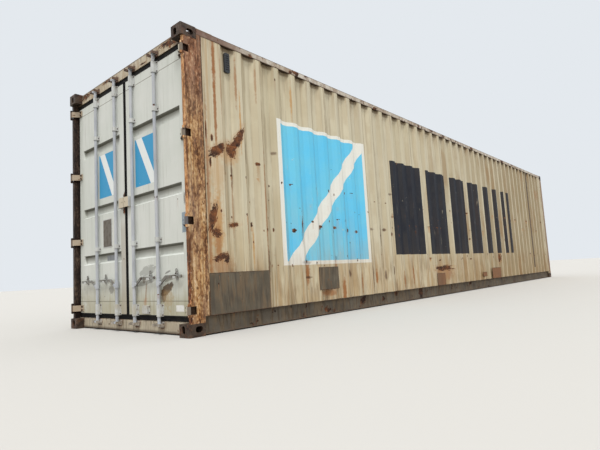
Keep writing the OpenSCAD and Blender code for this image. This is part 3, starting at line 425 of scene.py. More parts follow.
sideRust = (  # centre (x, z), half size (x, z), turn, ragged; all on the photographed side
    ((-5.710, 1.735), (0.125, 0.052), 33, 0.40),
    ((-5.520, 1.765), (0.055, 0.080), 20, 0.50),
    ((-5.440, 1.880), (0.165, 0.042), 60, 0.42),
    ((-5.774, 1.845), (0.016, 0.034), 0, 0.30),
    ((-5.790, 1.080), (0.048, 0.140), -16, 0.50),
    ((-5.755, 0.930), (0.060, 0.045), -20, 0.60),
    ((-5.720, 0.700), (0.085, 0.034), 18, 0.60),
    ((-5.640, 0.685), (0.040, 0.050), -20, 0.55),
    ((-5.525, 1.015), (0.060, 0.024), 8, 0.70),
    ((-4.515, 1.060), (0.016, 0.100), 0, 0.50),
    ((-4.157, 1.050), (0.040, 0.018), 0, 0.70),
    ((-3.877, 1.048), (0.040, 0.018), 0, 0.70),
    ((-3.457, 1.005), (0.030, 0.018), 0, 0.70),
    ((-5.842, 1.910), (0.009, 0.105), 0, 0.15),
    ((-5.800, 1.600), (0.012, 0.050), 0, 0.40),
    ((-0.830, 0.455), (0.340, 0.045), 0, 0.70),
    ((2.020, 0.600), (0.060, 0.090), 0, 0.70),
)
runTones = {"rust": screen(158, 104, 58), "dark": screen(92, 62, 40), "ochre": screen(196, 146, 84)}
sideRuns = (  # centre (x, z), half size (x, z), tone, strength
    ((-5.722, 2.60), (0.018, 0.34), "rust", 0.85),
    ((-5.722, 2.10), (0.014, 0.40), "rust", 0.75),
    ((-5.640, 2.45), (0.008, 0.34), "rust", 0.45),
    ((-5.440, 2.50), (0.010, 0.26), "rust", 0.60),
    ((-5.400, 2.05), (0.010, 0.34), "ochre", 0.70),
    ((-5.160, 2.55), (0.010, 0.20), "rust", 0.50),
    ((-4.600, 2.50), (0.012, 0.22), "ochre", 0.60),
    ((-5.350, 0.98), (0.010, 0.20), "rust", 0.55),
    ((-5.260, 0.80), (0.012, 0.22), "ochre", 0.60),
    ((-5.515, 1.54), (0.010, 0.20), "dark", 0.70),
    ((-5.515, 1.20), (0.010, 0.30), "rust", 0.45),
    ((-5.617, 1.62), (0.009, 0.18), "dark", 0.60),
    ((-5.333, 1.78), (0.009, 0.17), "dark", 0.50),
    ((-5.560, 1.72), (0.100, 0.120), "ochre", 0.35),
    ((-5.720, 1.50), (0.080, 0.200), "ochre", 0.30),
    ((-5.835, 1.20), (0.016, 0.95), "rust", 0.60),
    ((-5.740, 1.00), (0.060, 0.300), "ochre", 0.60),
    ((-5.740, 0.84), (0.030, 0.20), "rust", 0.55),
    ((-5.700, 0.620), (0.140, 0.100), "rust", 0.45),
    ((-5.090, 1.24), (0.009, 0.60), "rust", 0.60),
    ((-5.075, 0.62), (0.016, 0.16), "dark", 0.60),
    ((-4.800, 1.60), (0.010, 0.28), "rust", 0.40),
    ((-4.916, 1.828), (0.026, 0.020), "dark", 0.60),
    ((-4.450, 0.50), (0.040, 0.150), "rust", 0.90),
    ((-4.470, 0.625), (0.075, 0.026), "dark", 0.80),
    ((-4.440, 0.455), (0.050, 0.016), "dark", 0.80),
    ((-4.530, 0.96), (0.014, 0.130), "dark", 0.60),
    ((-3.884, 0.673), (0.026, 0.030), "dark", 0.80),
    ((-3.900, 0.600), (0.022, 0.080), "rust", 0.70),
    ((-4.080, 0.260), (0.130, 0.040), "rust", 0.65),
    ((-3.600, 1.02), (0.012, 0.060), "dark", 0.50),
    ((-3.363, 0.74), (0.012, 0.130), "dark", 0.50),
    ((-3.610, 0.465), (0.024, 0.050), "dark", 0.70),
    ((-3.780, 0.25), (0.020, 0.17), "rust", 0.80),
    ((-3.346, 0.33), (0.022, 0.150), "rust", 0.80),
    ((-3.066, 0.38), (0.018, 0.180), "dark", 0.65),
    ((-2.986, 0.40), (0.014, 0.110), "rust", 0.80),
    ((-2.854, 0.96), (0.014, 0.150), "dark", 0.65),
    ((-2.737, 0.41), (0.026, 0.070), "dark", 0.65),
    ((-2.500, 0.47), (0.026, 0.070), "dark", 0.60),
    ((-2.200, 0.32), (0.020, 0.130), "rust", 0.70),
    ((-1.915, 0.39), (0.022, 0.150), "rust", 0.75),
    ((-2.711, 1.059), (0.034, 0.022), "dark", 0.75),
    ((-2.493, 1.01), (0.026, 0.020), "dark", 0.65),
    ((-3.033, 1.059), (0.040, 0.018), "dark", 0.55),
    ((-2.460, 1.60), (0.040, 0.018), "dark", 0.60),
    ((-2.444, 1.262), (0.024, 0.018), "dark", 0.55),
    ((-0.800, 0.36), (0.300, 0.110), "rust", 0.50),
    ((5.500, 2.30), (0.140, 0.180), "rust", 0.30),
)
wallDetail = {
    "scallop": (2.772, 2.800),  # shade under the top rail, inside each recess
    "recess": 1.203,  # nearer the middle than this is inside a recess
    "frontWall": 6.0,  # the closed end is beyond this
    "frontPost": (5.925, 5.935),
    "distant": (-2.0, 4.0),  # from here on the far half is browner
    "firstFold": -5.6355,  # where the first recess starts
    "pitch": 0.278,
    "foldDarkness": ((0.0, 1.0), (0.035, 0.7), (0.06, 0.0), (0.22, 0.4), (0.26, 0.7), (0.32, 0.0), (0.49, 0.5),
        (0.53, 0.0), (0.73, 0.0), (0.745, 0.6), (0.77, 0.0), (0.975, 0.0)),  # place in a fold, how dark it is painted there
    "foldNoise": {"stretch": (1.0, 1.0, 0.22), "scale": 9.0, "shown": (0.40, 0.58)},
    "dotRows": ((0.96, 1.16), (0.58, 0.72), (1.24, 1.31), (1.44, 1.52)),
    "dots": {"Spacing": 0.105, "Size": 0.014, "Length": 0.24, "Share": 0.55},
    "joint": (4.57, 4.70),  # open seam near the far end
    "jointFoot": 0.32,
    "seams": (-5.09, -3.98, -2.87, -1.76, -0.64, 0.47, 1.58, 2.69, 3.80, 4.62),  # welds between sheets
    "seamWidth": 0.012,
    "runSpread": (1.6, 1.3),
    "runGain": 1.15,
    "runSoft": 0.65,
}
wallRain = {  # width, length, cover and edge of the streaks
    "drips": (0.036, 0.90, 0.42, 0.07),
    "dark": (0.040, 0.40, 0.36, 0.07),
    "rusty": (0.12, 0.9, 0.34, 0.08),
    "beside": (0.034, 2.4, 0.46, 0.10),
}
wallFades = {  # where each begins and where it is full; beside and rusty run along the wall
    "drips": (0.95, 0.45),
    "dark": (0.80, 0.45),
    "stained": (0.75, 0.15),
    "folds": (2.5, 0.5),
    "rusty": (-2.8, 0.5),
    "beside": (-5.45, -5.84),
}
wallWashes = {  # tone and strength
    "drips": (screen(172, 134, 88), 0.55),
    "dark": (screen(104, 72, 44), 0.9),
    "stained": (screen(190, 160, 114), 0.3),
    "slopes": (screen(178, 160, 126), 0.35),
    "farSlopes": (screen(120, 98, 68), 0.60),
    "far": (screen(166, 148, 112), 0.25),
    "rusty": (screen(150, 114, 72), 0.5),
    "beside": (screen(188, 150, 100), 0.5),
    "joint": (screen(70, 52, 36), 0.9),
    "folds": (screen(134, 112, 80), 1.0),
    "seams": (screen(128, 104, 74), 0.6),
    "halos": (screen(190, 142, 92), 0.45),
    "dotRuns": (screen(184, 134, 84), 0.6),
    "frontWall": (screen(188, 160, 116), 0.5),
    "scallop": (screen(104, 80, 54), 0.65),
    "frontPost": (screen(126, 88, 62), 0.7),
}


def markSides(tree, place, colour):
    x, y, z = split(tree, place)
    skin = outward(tree, 1, place)
    near = both(tree, calc(tree, "LESS_THAN", y, 0.0), skin)
    front = both(tree, outward(tree, 0, place), calc(tree, "GREATER_THAN", x, wallDetail["frontWall"]))
    skin = calc(tree, "MAXIMUM", skin, front)
    flat = flatPlace(tree, place, 1)
    pitch = wallDetail["pitch"]
    along = calc(tree, "WRAP", calc(tree, "SUBTRACT", x, wallDetail["firstFold"]), pitch, 0.0)
    folds = ramp(tree, calc(tree, "DIVIDE", along, pitch),
        [(at, (dirt, dirt, dirt, 1.0)) for at, dirt in wallDetail["foldDarkness"]])

    drips = rain(tree, place, *wallRain["drips"])
    colour = wash(tree, colour, wallWashes["drips"], drips, ease(tree, z, *wallFades["drips"]), skin)
    dark = rain(tree, place, *wallRain["dark"])
    dark = calc(tree, "MULTIPLY", dark, calc(tree, "MULTIPLY_ADD", folds, 0.75, 0.4))
    colour = wash(tree, colour, wallWashes["dark"], dark, ease(tree, z, *wallFades["dark"]), skin)
    stained = patches(tree, place, 2.2, 0.62, 0.12)
    colour = wash(tree, colour, wallWashes["stained"], stained, ease(tree, z, *wallFades["stained"]), skin)
    slopes = both(tree, ease(tree, calc(tree, "ABSOLUTE", facing(tree, 0)), 0.15, 0.35), skin)
    colour = wash(tree, colour, wallWashes["slopes"], slopes, stained)
    distant = ease(tree, x, *wallDetail["distant"])
    colour = wash(tree, colour, wallWashes["farSlopes"], slopes, distant)
    colour = wash(tree, colour, wallWashes["far"], skin, distant)
    for kind in ("rusty", "beside"):
        runs = rain(tree, place, *wallRain[kind])
        colour = wash(tree, colour, wallWashes[kind], runs, skin, ease(tree, x, *wallFades[kind]))

    joint = both(tree, inside(tree, x, *wallDetail["joint"]),
        calc(tree, "GREATER_THAN", z, wallDetail["jointFoot"]))
    colour = wash(tree, colour, wallWashes["joint"], joint, skin)
    # darker along the fold lines of the sheet, more so low down
    noise = wallDetail["foldNoise"]
    broken = grain(tree, stretched(tree, place, noise["stretch"]), noise["scale"], 5.0, 0.6)
    lower = calc(tree, "MULTIPLY_ADD", ease(tree, z, *wallFades["folds"]), 0.35, 0.5)
    colour = wash(tree, colour, wallWashes["folds"], folds, ease(tree, broken, *noise["shown"]), lower,
        skin)
    half = wallDetail["seamWidth"] / 2
    for seam in wallDetail["seams"]:
        line = inside(tree, x, seam - half, seam + half)
        colour = wash(tree, colour, wallWashes["seams"], line, stained, skin)

    wobble = calc(tree, "MULTIPLY_ADD", grain(tree, place, 26.0, 5.0, 0.65), 1.3, -0.65)
    wide, tall = wallDetail["runSpread"]
    for (cx, cz), (rx, rz), tone, strength in sideRuns:
        mask = use(tree, smallMark, {"Place": flat, "Centre": (cx, 0.0, cz),
            "Reach": (rx * wide, 1.0, rz * tall),
            "Wobble": wobble, "Soft": wallDetail["runSoft"]})["Mask"]
        colour = wash(tree, colour, (runTones[tone], min(0.95, strength * wallDetail["runGain"])), mask,
            near)
    spots = []
    for centre, reach, turn, ragged in sideRust:
        mark = markAt(tree, flat, 1, centre, reach, ragged, turn)
        colour = wash(tree, colour, wallWashes["halos"], mark["Halo"], near)
        spots.append(mark["Round"])
    placed = both(tree, total(tree, spots), near)
    dots = use(tree, chipsAndRuns, {"Place": place, **wallDetail["dots"]})
    rows = both(tree, total(tree, [inside(tree, z, *row) for row in wallDetail["dotRows"]]), skin)
    colour = wash(tree, colour, wallWashes["dotRuns"], dots["Run"], rows)

    # painted shade under the top rail, inside each recess
    shadedHollow = calc(tree, "LESS_THAN", calc(tree, "ABSOLUTE", y), wallDetail["recess"])
    shaded = both(tree, ease(tree, z, *wallDetail["scallop"]), skin, shadedHollow)
    colour = wash(tree, colour, wallWashes["frontWall"], front, stained)
    colour = wash(tree, colour, wallWashes["scallop"], shaded)
    post = ease(tree, x, *wallDetail["frontPost"])
    colour = wash(tree, colour, wallWashes["frontPost"], post, skin)
    return colour, [placed, both(tree, dots["Chip"], rows)]


wallPaint = paintedSteel("wallPaint", look(
    paint=screen(216, 208, 182), paintAged=screen(204, 195, 166),
    bands=(
        {"width": 0.13, "length": 6.0, "cover": 0.50, "strength": 0.55, "tone": screen(226, 216, 188)},
        {"width": 0.06, "length": 5.0, "cover": 0.45, "strength": 0.40, "tone": screen(198, 193, 174)},
        {"width": 0.024, "length": 1.6, "cover": 0.34, "strength": 0.30, "tone": screen(168, 152, 122)},
    ),
    streaks=(
        {"width": 0.06, "length": 1.4, "cover": 0.50, "strength": 0.32, "tone": screen(210, 182, 134),
            "height": (1.4, 0.4)},
        {"width": 0.014, "length": 0.45, "cover": 0.34, "strength": 0.50, "tone": screen(140, 108, 74),
            "height": (0.95, 0.45)},
        {"width": 0.03, "length": 0.8, "cover": 0.40, "strength": 0.45, "tone": screen(156, 130, 96),
            "height": (2.45, 2.85)},
    ),
    chipSpacing=0.34, chipSize=0.010, chipShare=0.26, runLength=0.30, rustCover=0.0, rustLight=0.42,
    edgeWear=0.08), artwork=paintSides, marks=markSides)


def doorOutside(tree, x):  # 1 on the faces of a leaf that look out
    return both(tree, calc(tree, "LESS_THAN", x, doorFace + 0.04),
        calc(tree, "LESS_THAN", facing(tree, 0), -0.02))


doorMotif = {
    "blue": screen(58, 156, 204),
    "white": screen(236, 240, 238),
    "z": (1.50, 2.01),
    "right": (-0.615, -0.205),  # between the two rods of a leaf
    "left": (0.205, 0.615),
    "slash": 0.46,  # its middle, as a share of the panel's width
    "slashWidth": 0.060,
    "lean": 0.55,
    "middleZ": 1.75,
    "wear": 0.03,
}


def paintDoors(tree, place, colour):
    x, y, z = split(tree, place)
    outer = doorOutside(tree, x)
    keep = both(tree, wornArt(tree, place, doorMotif["wear"]), outer)
    panels, slashes = [], []
    for side in ("right", "left"):
        low, high = doorMotif[side]
        panels.append(inside(tree, y, low, high))
        centre = low + (high - low) * doorMotif["slash"]
        middle = centre - doorMotif["lean"] * doorMotif["middleZ"]
        slashes.append(inside(tree, slant(tree, y, z, doorMotif["lean"]), middle - doorMotif["slashWidth"],
            middle + doorMotif["slashWidth"]))
    panel = both(tree, total(tree, panels), inside(tree, z, *doorMotif["z"]))
    colour = coat(tree, both(tree, panel, keep), colour, doorMotif["blue"])
    colour = coat(tree, both(tree, panel, total(tree, slashes), keep), colour, doorMotif["white"])
    return colour, both(tree, panel, keep)


doorStains = (  # centre (y, z), half size (y, z), turn, ragged, tone, strength
    ((-0.745, 0.425), (0.120, 0.050), 24, 0.22, screen(88, 66, 42), 0.92),
    ((-0.690, 0.370), (0.050, 0.070), 0, 0.30, screen(112, 84, 54), 0.80),
    ((-0.760, 0.340), (0.080, 0.090), 0, 0.90, screen(176, 148, 104), 0.45),
    ((-0.400, 0.620), (0.160, 0.050), 10, 0.40, screen(140, 140, 132), 0.55),
    ((-0.365, 0.400), (0.012, 0.120), -8, 0.50, screen(146, 108, 76), 0.70),
    ((-0.350, 0.310), (0.030, 0.050), -20, 0.80, screen(180, 134, 104), 0.45),
    ((-0.335, 0.495), (0.170, 0.024), 8, 0.45, screen(120, 118, 110), 0.60),
    ((-0.800, 0.530), (0.150, 0.022), 10, 0.45, screen(124, 118, 104), 0.60),
    ((0.355, 0.450), (0.060, 0.060), -30, 0.45, screen(124, 120, 110), 0.65),
    ((0.300, 0.500), (0.120, 0.020), -20, 0.50, screen(132, 128, 116), 0.50),
    ((-0.765, 0.590), (0.055, 0.010), 14, 0.30, screen(104, 100, 94), 0.70),
    ((-0.330, 0.520), (0.030, 0.028), 0, 0.40, screen(96, 76, 58), 0.60),
    ((-1.072, 1.260), (0.012, 0.060), 0, 0.30, screen(84, 66, 48), 0.70),
    ((0.420, 1.075), (0.200, 0.210), 0, 0.10, screen(214, 214, 206), 0.35),
)
doorDetail = {
    "recessTops": (0.856, 1.421, 2.161),
    "shade": (0.085, 0.018),  # below a recess top, where its shade begins and where it is full
    "lines": (0.315, 2.615),  # welds of the door members
    "lineWidth": 0.008,
    "repaint": ((-1.10, 1.037), (0.075, 0.094), 0.12),  # centre, half size, ragged
    "spot": ((0.03, 1.37), (0.05, 0.13), 0.35),
    "foot": (0.62, 0.20),
    "stripY": (0.012, 0.125),
    "stripZ": (1.30, 1.05),
    "sealY": (0.020, 1.142),  # the seal is nearer the middle than the first, and beyond the second
}


def markDoors(tree, place, colour):
    x, y, z = split(tree, place)
    flat = flatPlace(tree, place, 0)
    outer = doorOutside(tree, x)
    foot = both(tree, ease(tree, z, *doorDetail["foot"]), patches(tree, place, 3.0, 0.75, 0.15))
    colour = wash(tree, colour, (screen(172, 164, 132), 0.7), foot)
    repaint = markAt(tree, flat, 0, *doorDetail["repaint"])["Square"]
    colour = coat(tree, both(tree, repaint, outer), colour, screen(146, 160, 170))
    half = doorDetail["lineWidth"] / 2
    for line in doorDetail["lines"]:
        drawn = both(tree, inside(tree, z, line - half, line + half), outer)
        colour = wash(tree, colour, (screen(116, 110, 92), 0.75), drawn)
    for centre, reach, turn, ragged, tone, strength in doorStains:
        mask = markAt(tree, flat, 0, centre, reach, ragged, turn)["Round"]
        colour = wash(tree, colour, (tone, strength), mask, outer)
    side, edge = calc(tree, "ABSOLUTE", y), calc(tree, "ABSOLUTE", facing(tree, 1))
    nearMiddle, farOut = doorDetail["sealY"]
    gasket = both(tree, calc(tree, "GREATER_THAN", edge, 0.7), calc(tree, "LESS_THAN", x, doorFace + 0.05),
        total(tree, [calc(tree, "LESS_THAN", side, nearMiddle), calc(tree, "GREATER_THAN", side, farOut)]))
    colour = coat(tree, gasket, colour, screen(26, 26, 28))  # the seal wraps the upright edges
    begin, full = doorDetail["shade"]
    for top in doorDetail["recessTops"]:  # painted shade under the upper edge of each recess
        shaded = both(tree, ease(tree, z, top - begin, top - full), calc(tree, "LESS_THAN", z, top),
            calc(tree, "GREATER_THAN", x, doorFace + 0.012), outer)
        colour = wash(tree, colour, (screen(112, 110, 98), 0.75), shaded)
    strip = both(tree, inside(tree, y, *doorDetail["stripY"]), ease(tree, z, *doorDetail["stripZ"]), outer)
    colour = wash(tree, colour, (screen(176, 166, 150), 0.6), strip)
    spot = markAt(tree, flat, 0, *doorDetail["spot"])["Round"]
    return colour, [both(tree, spot, outer)]


doorPaint = paintedSteel("doorPaint", look(
    paint=screen(221, 223, 217), paintAged=screen(212, 216, 208), toneScale=1.6,
    bands=({"width": 0.16, "length": 2.4, "cover": 0.42, "strength": 0.35, "tone": screen(200, 204, 196)},),
    streaks=(
        {"width": 0.05, "length": 1.2, "cover": 0.28, "strength": 0.30, "tone": screen(176, 178, 166)},
        {"width": 0.016, "length": 0.5, "cover": 0.20, "strength": 0.35, "tone": screen(156, 156, 146)},
        {"width": 0.03, "length": 0.4, "cover": 0.45, "strength": 0.5, "tone": screen(164, 156, 126),
            "height": (0.60, 0.22)},
    ),
    chipSpacing=0.5, chipSize=0.006, chipShare=0.20, runLength=0.16, rustCover=0.0, rustLight=0.3,
    edgeWear=0.14, edgeRadius=0.004, roughness=0.5, under=0.85, underTone=screen(78, 77, 66)),
    artwork=paintDoors, marks=markDoors)


rearPost = {
    "side": ((0.37, screen(84, 50, 28)), (0.44, screen(148, 100, 58)), (0.51, screen(190, 146, 96)),
        (0.58, screen(212, 174, 124)), (0.68, screen(234, 208, 170))),
    "end": ((0.34, screen(128, 76, 40)), (0.44, screen(196, 136, 84)), (0.54, screen(222, 170, 118)),
        (0.66, screen(236, 204, 162))),
    "endLow": ((0.42, screen(66, 34, 20)), (0.50, screen(116, 62, 34)), (0.56, screen(164, 98, 56)),
        (0.64, screen(216, 170, 124))),
    "top": ((0.37, screen(70, 40, 28)), (0.45, screen(120, 76, 50)), (0.53, screen(154, 104, 72)),
        (0.61, screen(182, 134, 98)), (0.71, screen(222, 188, 152))),
    "far": ((0.40, screen(36, 28, 25)), (0.54, screen(66, 50, 42)), (0.66, screen(104, 86, 72)),
        (0.78, screen(150, 134, 116))),
    "topZ": (1.9, 2.45),
    "lowZ": (1.15, 0.75),
    "rearX": (-6.0625, -6.0645),
    "cornerX": (-6.040, -6.058),
    "seamX": (-5.880, -5.868),
    "flakesZ": ((1.1, 0.4), (2.2, 2.5)),
    "pocketX": (-6.0645, -5.990),  # the hinge pockets, darkened with painted shade
    "pocketY": (1.150, 1.2145),
    "pocketTall": 0.117,
}


def makeFlakedPost():
    material, tree, shader, place = newMaterial("flakedPost")
    x, y, z = split(tree, place)
    drawn = stretched(tree, place, (1.0, 1.0, 0.16))  # the scale runs down the post
    broad = grain(tree, drawn, 24.0, 5.0, 0.6)
    curled = grain(tree, stretched(tree, place, (1.0, 1.0, 0.50)), 52.0, 5.0, 0.7)
    mixed = calc(tree, "MULTIPLY_ADD", curled, 0.70, calc(tree, "MULTIPLY_ADD", broad, 0.62, -0.14))
    drift = grain(tree, place, 1.7, 2.0)
    mixed = calc(tree, "ADD", mixed, calc(tree, "MULTIPLY_ADD", drift, 0.24, -0.14))
    side = coat(tree, ease(tree, z, *rearPost["topZ"]), ramp(tree, mixed, rearPost["side"]),
        ramp(tree, mixed, rearPost["top"]))
    end = coat(tree, ease(tree, z, *rearPost["lowZ"]), ramp(tree, mixed, rearPost["end"]),
        ramp(tree, mixed, rearPost["endLow"]))
    rear = both(tree, ease(tree, facing(tree, 0), -0.35, -0.65), ease(tree, x, *rearPost["rearX"]))
    grey = patches(tree, drawn, 9.0, 0.5, 0.12)
    side = wash(tree, side, (screen(180, 154, 132), 0.35), grey)
    colour = coat(tree, rear, side, end)
    seamed = rain(tree, place, 0.016, 0.5, 0.40, 0.05)
    colour = wash(tree, colour, (screen(118, 82, 52), 0.55), seamed)
    corner = both(tree, ease(tree, x, *rearPost["cornerX"]), ease(tree, facing(tree, 0), -0.5, -0.3), seamed)
    colour = wash(tree, colour, (screen(96, 56, 34), 0.9), corner)
    pits = patches(tree, stretched(tree, place, (1.0, 1.0, 0.45)), 30.0, 0.32, 0.03)
    colour = wash(tree, colour, (screen(92, 56, 34), 0.75), pits)
    flakes = patches(tree, stretched(tree, place, (1.0, 1.0, 0.6)), 46.0, 0.22, 0.03)
    where = total(tree, [ease(tree, z, *span) for span in rearPost["flakesZ"]])
    colour = wash(tree, colour, (screen(222, 194, 162), 0.8), flakes, where)
    gaps = calc(tree, "GREATER_THAN", grain(tree, drawn, 30.0), 0.42)
    seam = both(tree, ease(tree, x, *rearPost["seamX"]), gaps)
    colour = wash(tree, colour, (screen(70, 50, 34), 0.85), seam)
    far = calc(tree, "GREATER_THAN", y, 0.0)  # the other post is darker all over
    colour = coat(tree, far, colour, ramp(tree, mixed, rearPost["far"]))
    # painted shade: the hinge pockets of the post drawn near black
    pocket = rearPost["pocketTall"] / 2
    shadedHollow = inside(tree, x, *rearPost["pocketX"])
    shadedHollow = both(tree, shadedHollow, inside(tree, calc(tree, "ABSOLUTE", y), *rearPost["pocketY"]),
        total(tree, [inside(tree, z, at - pocket, at + pocket) for at in hingeHeights]))
    colour = wash(tree, colour, (screen(38, 18, 12), 0.92), shadedHollow)
    wire(tree, shader.inputs["Base Color"], colour)
    wire(tree, shader.inputs["Roughness"], ease(tree, mixed, 1.4, -0.3))
    shader.inputs["Specular IOR Level"].default_value = 0.25
    sunk = calc(tree, "MULTIPLY", calc(tree, "MAXIMUM", seamed, pits), 0.18)
    relief(tree, shader, calc(tree, "SUBTRACT", mixed, sunk), 0.8, 0.009)
    return material


def makeBareRust(name, scale, lightness, depth, dust):
    material, tree, shader, place = newMaterial(name)
    rust = use(tree, rustScale, {"Place": place, "Scale": scale, "Lightness": lightness})
    dusty = patches(tree, place, scale * 0.7, 0.55, 0.12)
    colour = wash(tree, rust["Color"], (screen(92, 80, 68), dust), dusty)
    edges = use(tree, wornEdges, {"Place": place, "Radius": 0.006, "Wear": 0.7})["Mask"]
    colour = wash(tree, colour, (screen(140, 108, 82), 0.4), edges)
    # painted shade on the faces that look down
    under = ease(tree, facing(tree, 2), -0.25, -0.65)
    colour = wash(tree, colour, (screen(40, 30, 25), 0.7), under)
    wire(tree, shader.inputs["Base Color"], colour)
    wire(tree, shader.inputs["Roughness"], ease(tree, rust["Height"], 1.5, -0.2))
    shader.inputs["Specular IOR Level"].default_value = 0.3
    relief(tree, shader, rust["Height"], 0.9, depth)
    return material


headerStains = (  # centre (y, z), half size (y, z)
    ((-0.860, 2.850), (0.130, 0.030)),
    ((-0.960, 2.815), (0.090, 0.022)),
    ((0.960, 2.845), (0.110, 0.034)),
    ((0.415, 2.862), (0.090, 0.014)),
    ((-0.400, 2.800), (0.060, 0.010)),
)
headerDetail = {
    "cornerY": (-0.93, -1.05),  # shade by the near casting
    "cornerZ": (2.60, 2.70),
    "sillZ": (0.30, 0.12),
    "rimZ": (2.868, 2.886),
    "keepers": (-0.642, -0.185, 0.185, 0.642),
    "keeperReach": (0.055, 0.045),
    "keeperZ": (0.092, 2.802),
}


def markHeader(tree, place, colour):  # rust round the keepers, shade by the near casting
    x, y, z = split(tree, place)
    flat = flatPlace(tree, place, 0)
    corner = both(tree, ease(tree, y, *headerDetail["cornerY"]), ease(tree, z, *headerDetail["cornerZ"]))
    colour = wash(tree, colour, (screen(72, 56, 42), 0.85), corner)
    dirty = both(tree, ease(tree, z, *headerDetail["sillZ"]), patches(tree, place, 6.0, 0.55, 0.12))
    colour = wash(tree, colour, (screen(112, 92, 74), 0.25), dirty)
    rim = ease(tree, z, *headerDetail["rimZ"])
    colour = wash(tree, colour, (screen(96, 82, 66), 0.8), rim)
    spots = []
    for centre, reach in headerStains:
        mark = markAt(tree, flat, 0, centre, reach, 0.8)
        colour = wash(tree, colour, (screen(150, 118, 80), 0.6), mark["Halo"])
        spots.append(mark["Round"])
    for across in headerDetail["keepers"]:
        for up in headerDetail["keeperZ"]:
            mark = markAt(tree, flat, 0, (across, up), headerDetail["keeperReach"], 0.30)
            colour = wash(tree, colour, (screen(132, 96, 66), 0.5), mark["Halo"])
            spots.append(mark["Round"])
    return colour, [calc(tree, "MULTIPLY", total(tree, spots), calc(tree, "LESS_THAN", x, -6.0))]


railDetail = {
    "nearX": (-5.0, -5.75),
    "edgesZ": ((2.878, 2.887), (2.840, 2.831)),
}


def markRail(tree, place, colour):  # rustier beside the rear posts, dark along both edges, along the lower one as painted shade under the rail
    x, _, z = split(tree, place)
    close = both(tree, ease(tree, x, *railDetail["nearX"]), patches(tree, place, 4.0, 0.85, 0.2))
    colour = wash(tree, colour, (screen(116, 84, 70), 0.9), close)
    # dark along both edges; along the lower edge this is painted shade under the rail
    edges = total(tree, [ease(tree, z, *edge) for edge in railDetail["edgesZ"]])
    colour = wash(tree, colour, (screen(92, 76, 60), 0.75), edges)
    return colour, []


fittingDetail = {
    "blade": (1.045, 1.060),  # beyond this a fitting is a hinge blade
    "pocket": (1.172, 1.186),
    "repaintedZ": (0.94, 1.13),
    "middlePlate": ((0.0, 0.10), (1.30, 1.44)),
}


def markFittings(tree, place, colour):  # stained hinge blades, one of them painted over, and painted shade where they go into the pockets
    _, y, z = split(tree, place)
    blade = ease(tree, calc(tree, "ABSOLUTE", y), *fittingDetail["blade"])
    stained = patches(tree, place, 14.0, 0.5, 0.12)
    colour = wash(tree, colour, (screen(202, 194, 172), 0.8), blade)
    colour = wash(tree, colour, (screen(172, 148, 116), 0.45), blade, stained)
    far = both(tree, blade, calc(tree, "GREATER_THAN", y, 0.0))
    colour = wash(tree, colour, (screen(164, 138, 112), 0.55), far)
    repainted = both(tree, calc(tree, "LESS_THAN", y, -1.0), inside(tree, z, *fittingDetail["repaintedZ"]))
    colour = wash(tree, colour, (screen(146, 160, 172), 0.85), repainted)
    across, up = fittingDetail["middlePlate"]
    middle = both(tree, inside(tree, calc(tree, "ABSOLUTE", y), *across), inside(tree, z, *up))
    colour = wash(tree, colour, (screen(206, 190, 158), 0.75), middle)
    # painted shade where the blades go into the pockets of the post
    pocketShade = both(tree, blade, ease(tree, calc(tree, "ABSOLUTE", y), *fittingDetail["pocket"]))
    colour = wash(tree, colour, (screen(70, 44, 32), 0.7), pocketShade)
    return colour, []


roofDetail = {
    "puddles": screen(150, 130, 98),
    "silt": screen(132, 112, 82),
    "siltZ": (2.876, 2.870),
}


def markRoof(tree, place, colour):  # silt where rain stands between the folds
    upper = calc(tree, "GREATER_THAN", facing(tree, 2), 0.5)
    puddles = patches(tree, stretched(tree, place, (1.0, 0.5, 1.0)), 1.3, 0.5, 0.12)
    colour = wash(tree, colour, (roofDetail["puddles"], 0.5), puddles, upper)
    low = both(tree, ease(tree, split(tree, place)[2], *roofDetail["siltZ"]), upper)
    broken = ease(tree, grain(tree, stretched(tree, place, (1.0, 0.3, 1.0)), 5.0, 4.0), 0.38, 0.6)
    colour = wash(tree, colour, (roofDetail["silt"], 0.6), low, broken)
    return colour, []


def markKeepers(tree, place, colour):  # the upper ones are the rustier
    upper = both(tree, ease(tree, split(tree, place)[2], 2.0, 2.2), patches(tree, place, 20.0, 1.1, 0.1))
    return wash(tree, colour, (screen(96, 66, 50), 0.85), upper), []


def markPlates(tree, place, colour):  # the far ones have rusted more
    worn = both(tree, ease(tree, split(tree, place)[0], -2.0, -0.5), patches(tree, place, 6.0, 0.95, 0.12))
    return wash(tree, colour, (screen(146, 98, 62), 0.75), worn), []


headerPaint = paintedSteel("headerPaint", look(
    paint=screen(206, 197, 176), paintAged=screen(188, 174, 148), toneScale=5.0,
    streaks=(
        {"width": 0.05, "length": 0.3, "cover": 0.42, "strength": 0.55, "tone": screen(170, 146, 114)},
        {"width": 0.02, "length": 0.2, "cover": 0.35, "strength": 0.55, "tone": screen(116, 96, 74)},
        {"width": 0.05, "length": 0.3, "cover": 1.2, "strength": 0.75, "tone": screen(192, 182, 160),
            "height": (0.30, 0.12)},
        {"width": 0.03, "length": 0.3, "cover": 0.30, "strength": 0.75, "tone": screen(84, 72, 58),
            "height": (0.30, 0.12)},
        {"width": 0.2, "length": 0.02, "cover": 1.4, "strength": 0.8, "tone": screen(64, 54, 44),
            "height": (0.045, 0.015)},
    ),
    chipSpacing=0.12, chipSize=0.010, chipShare=0.5, runLength=0.08, rustScale=9.0, rustCover=0.16,
    rustLight=0.3, edgeWear=0.7, edgeRadius=0.009, under=0.85, underTone=screen(40, 34, 28)),
    marks=markHeader)
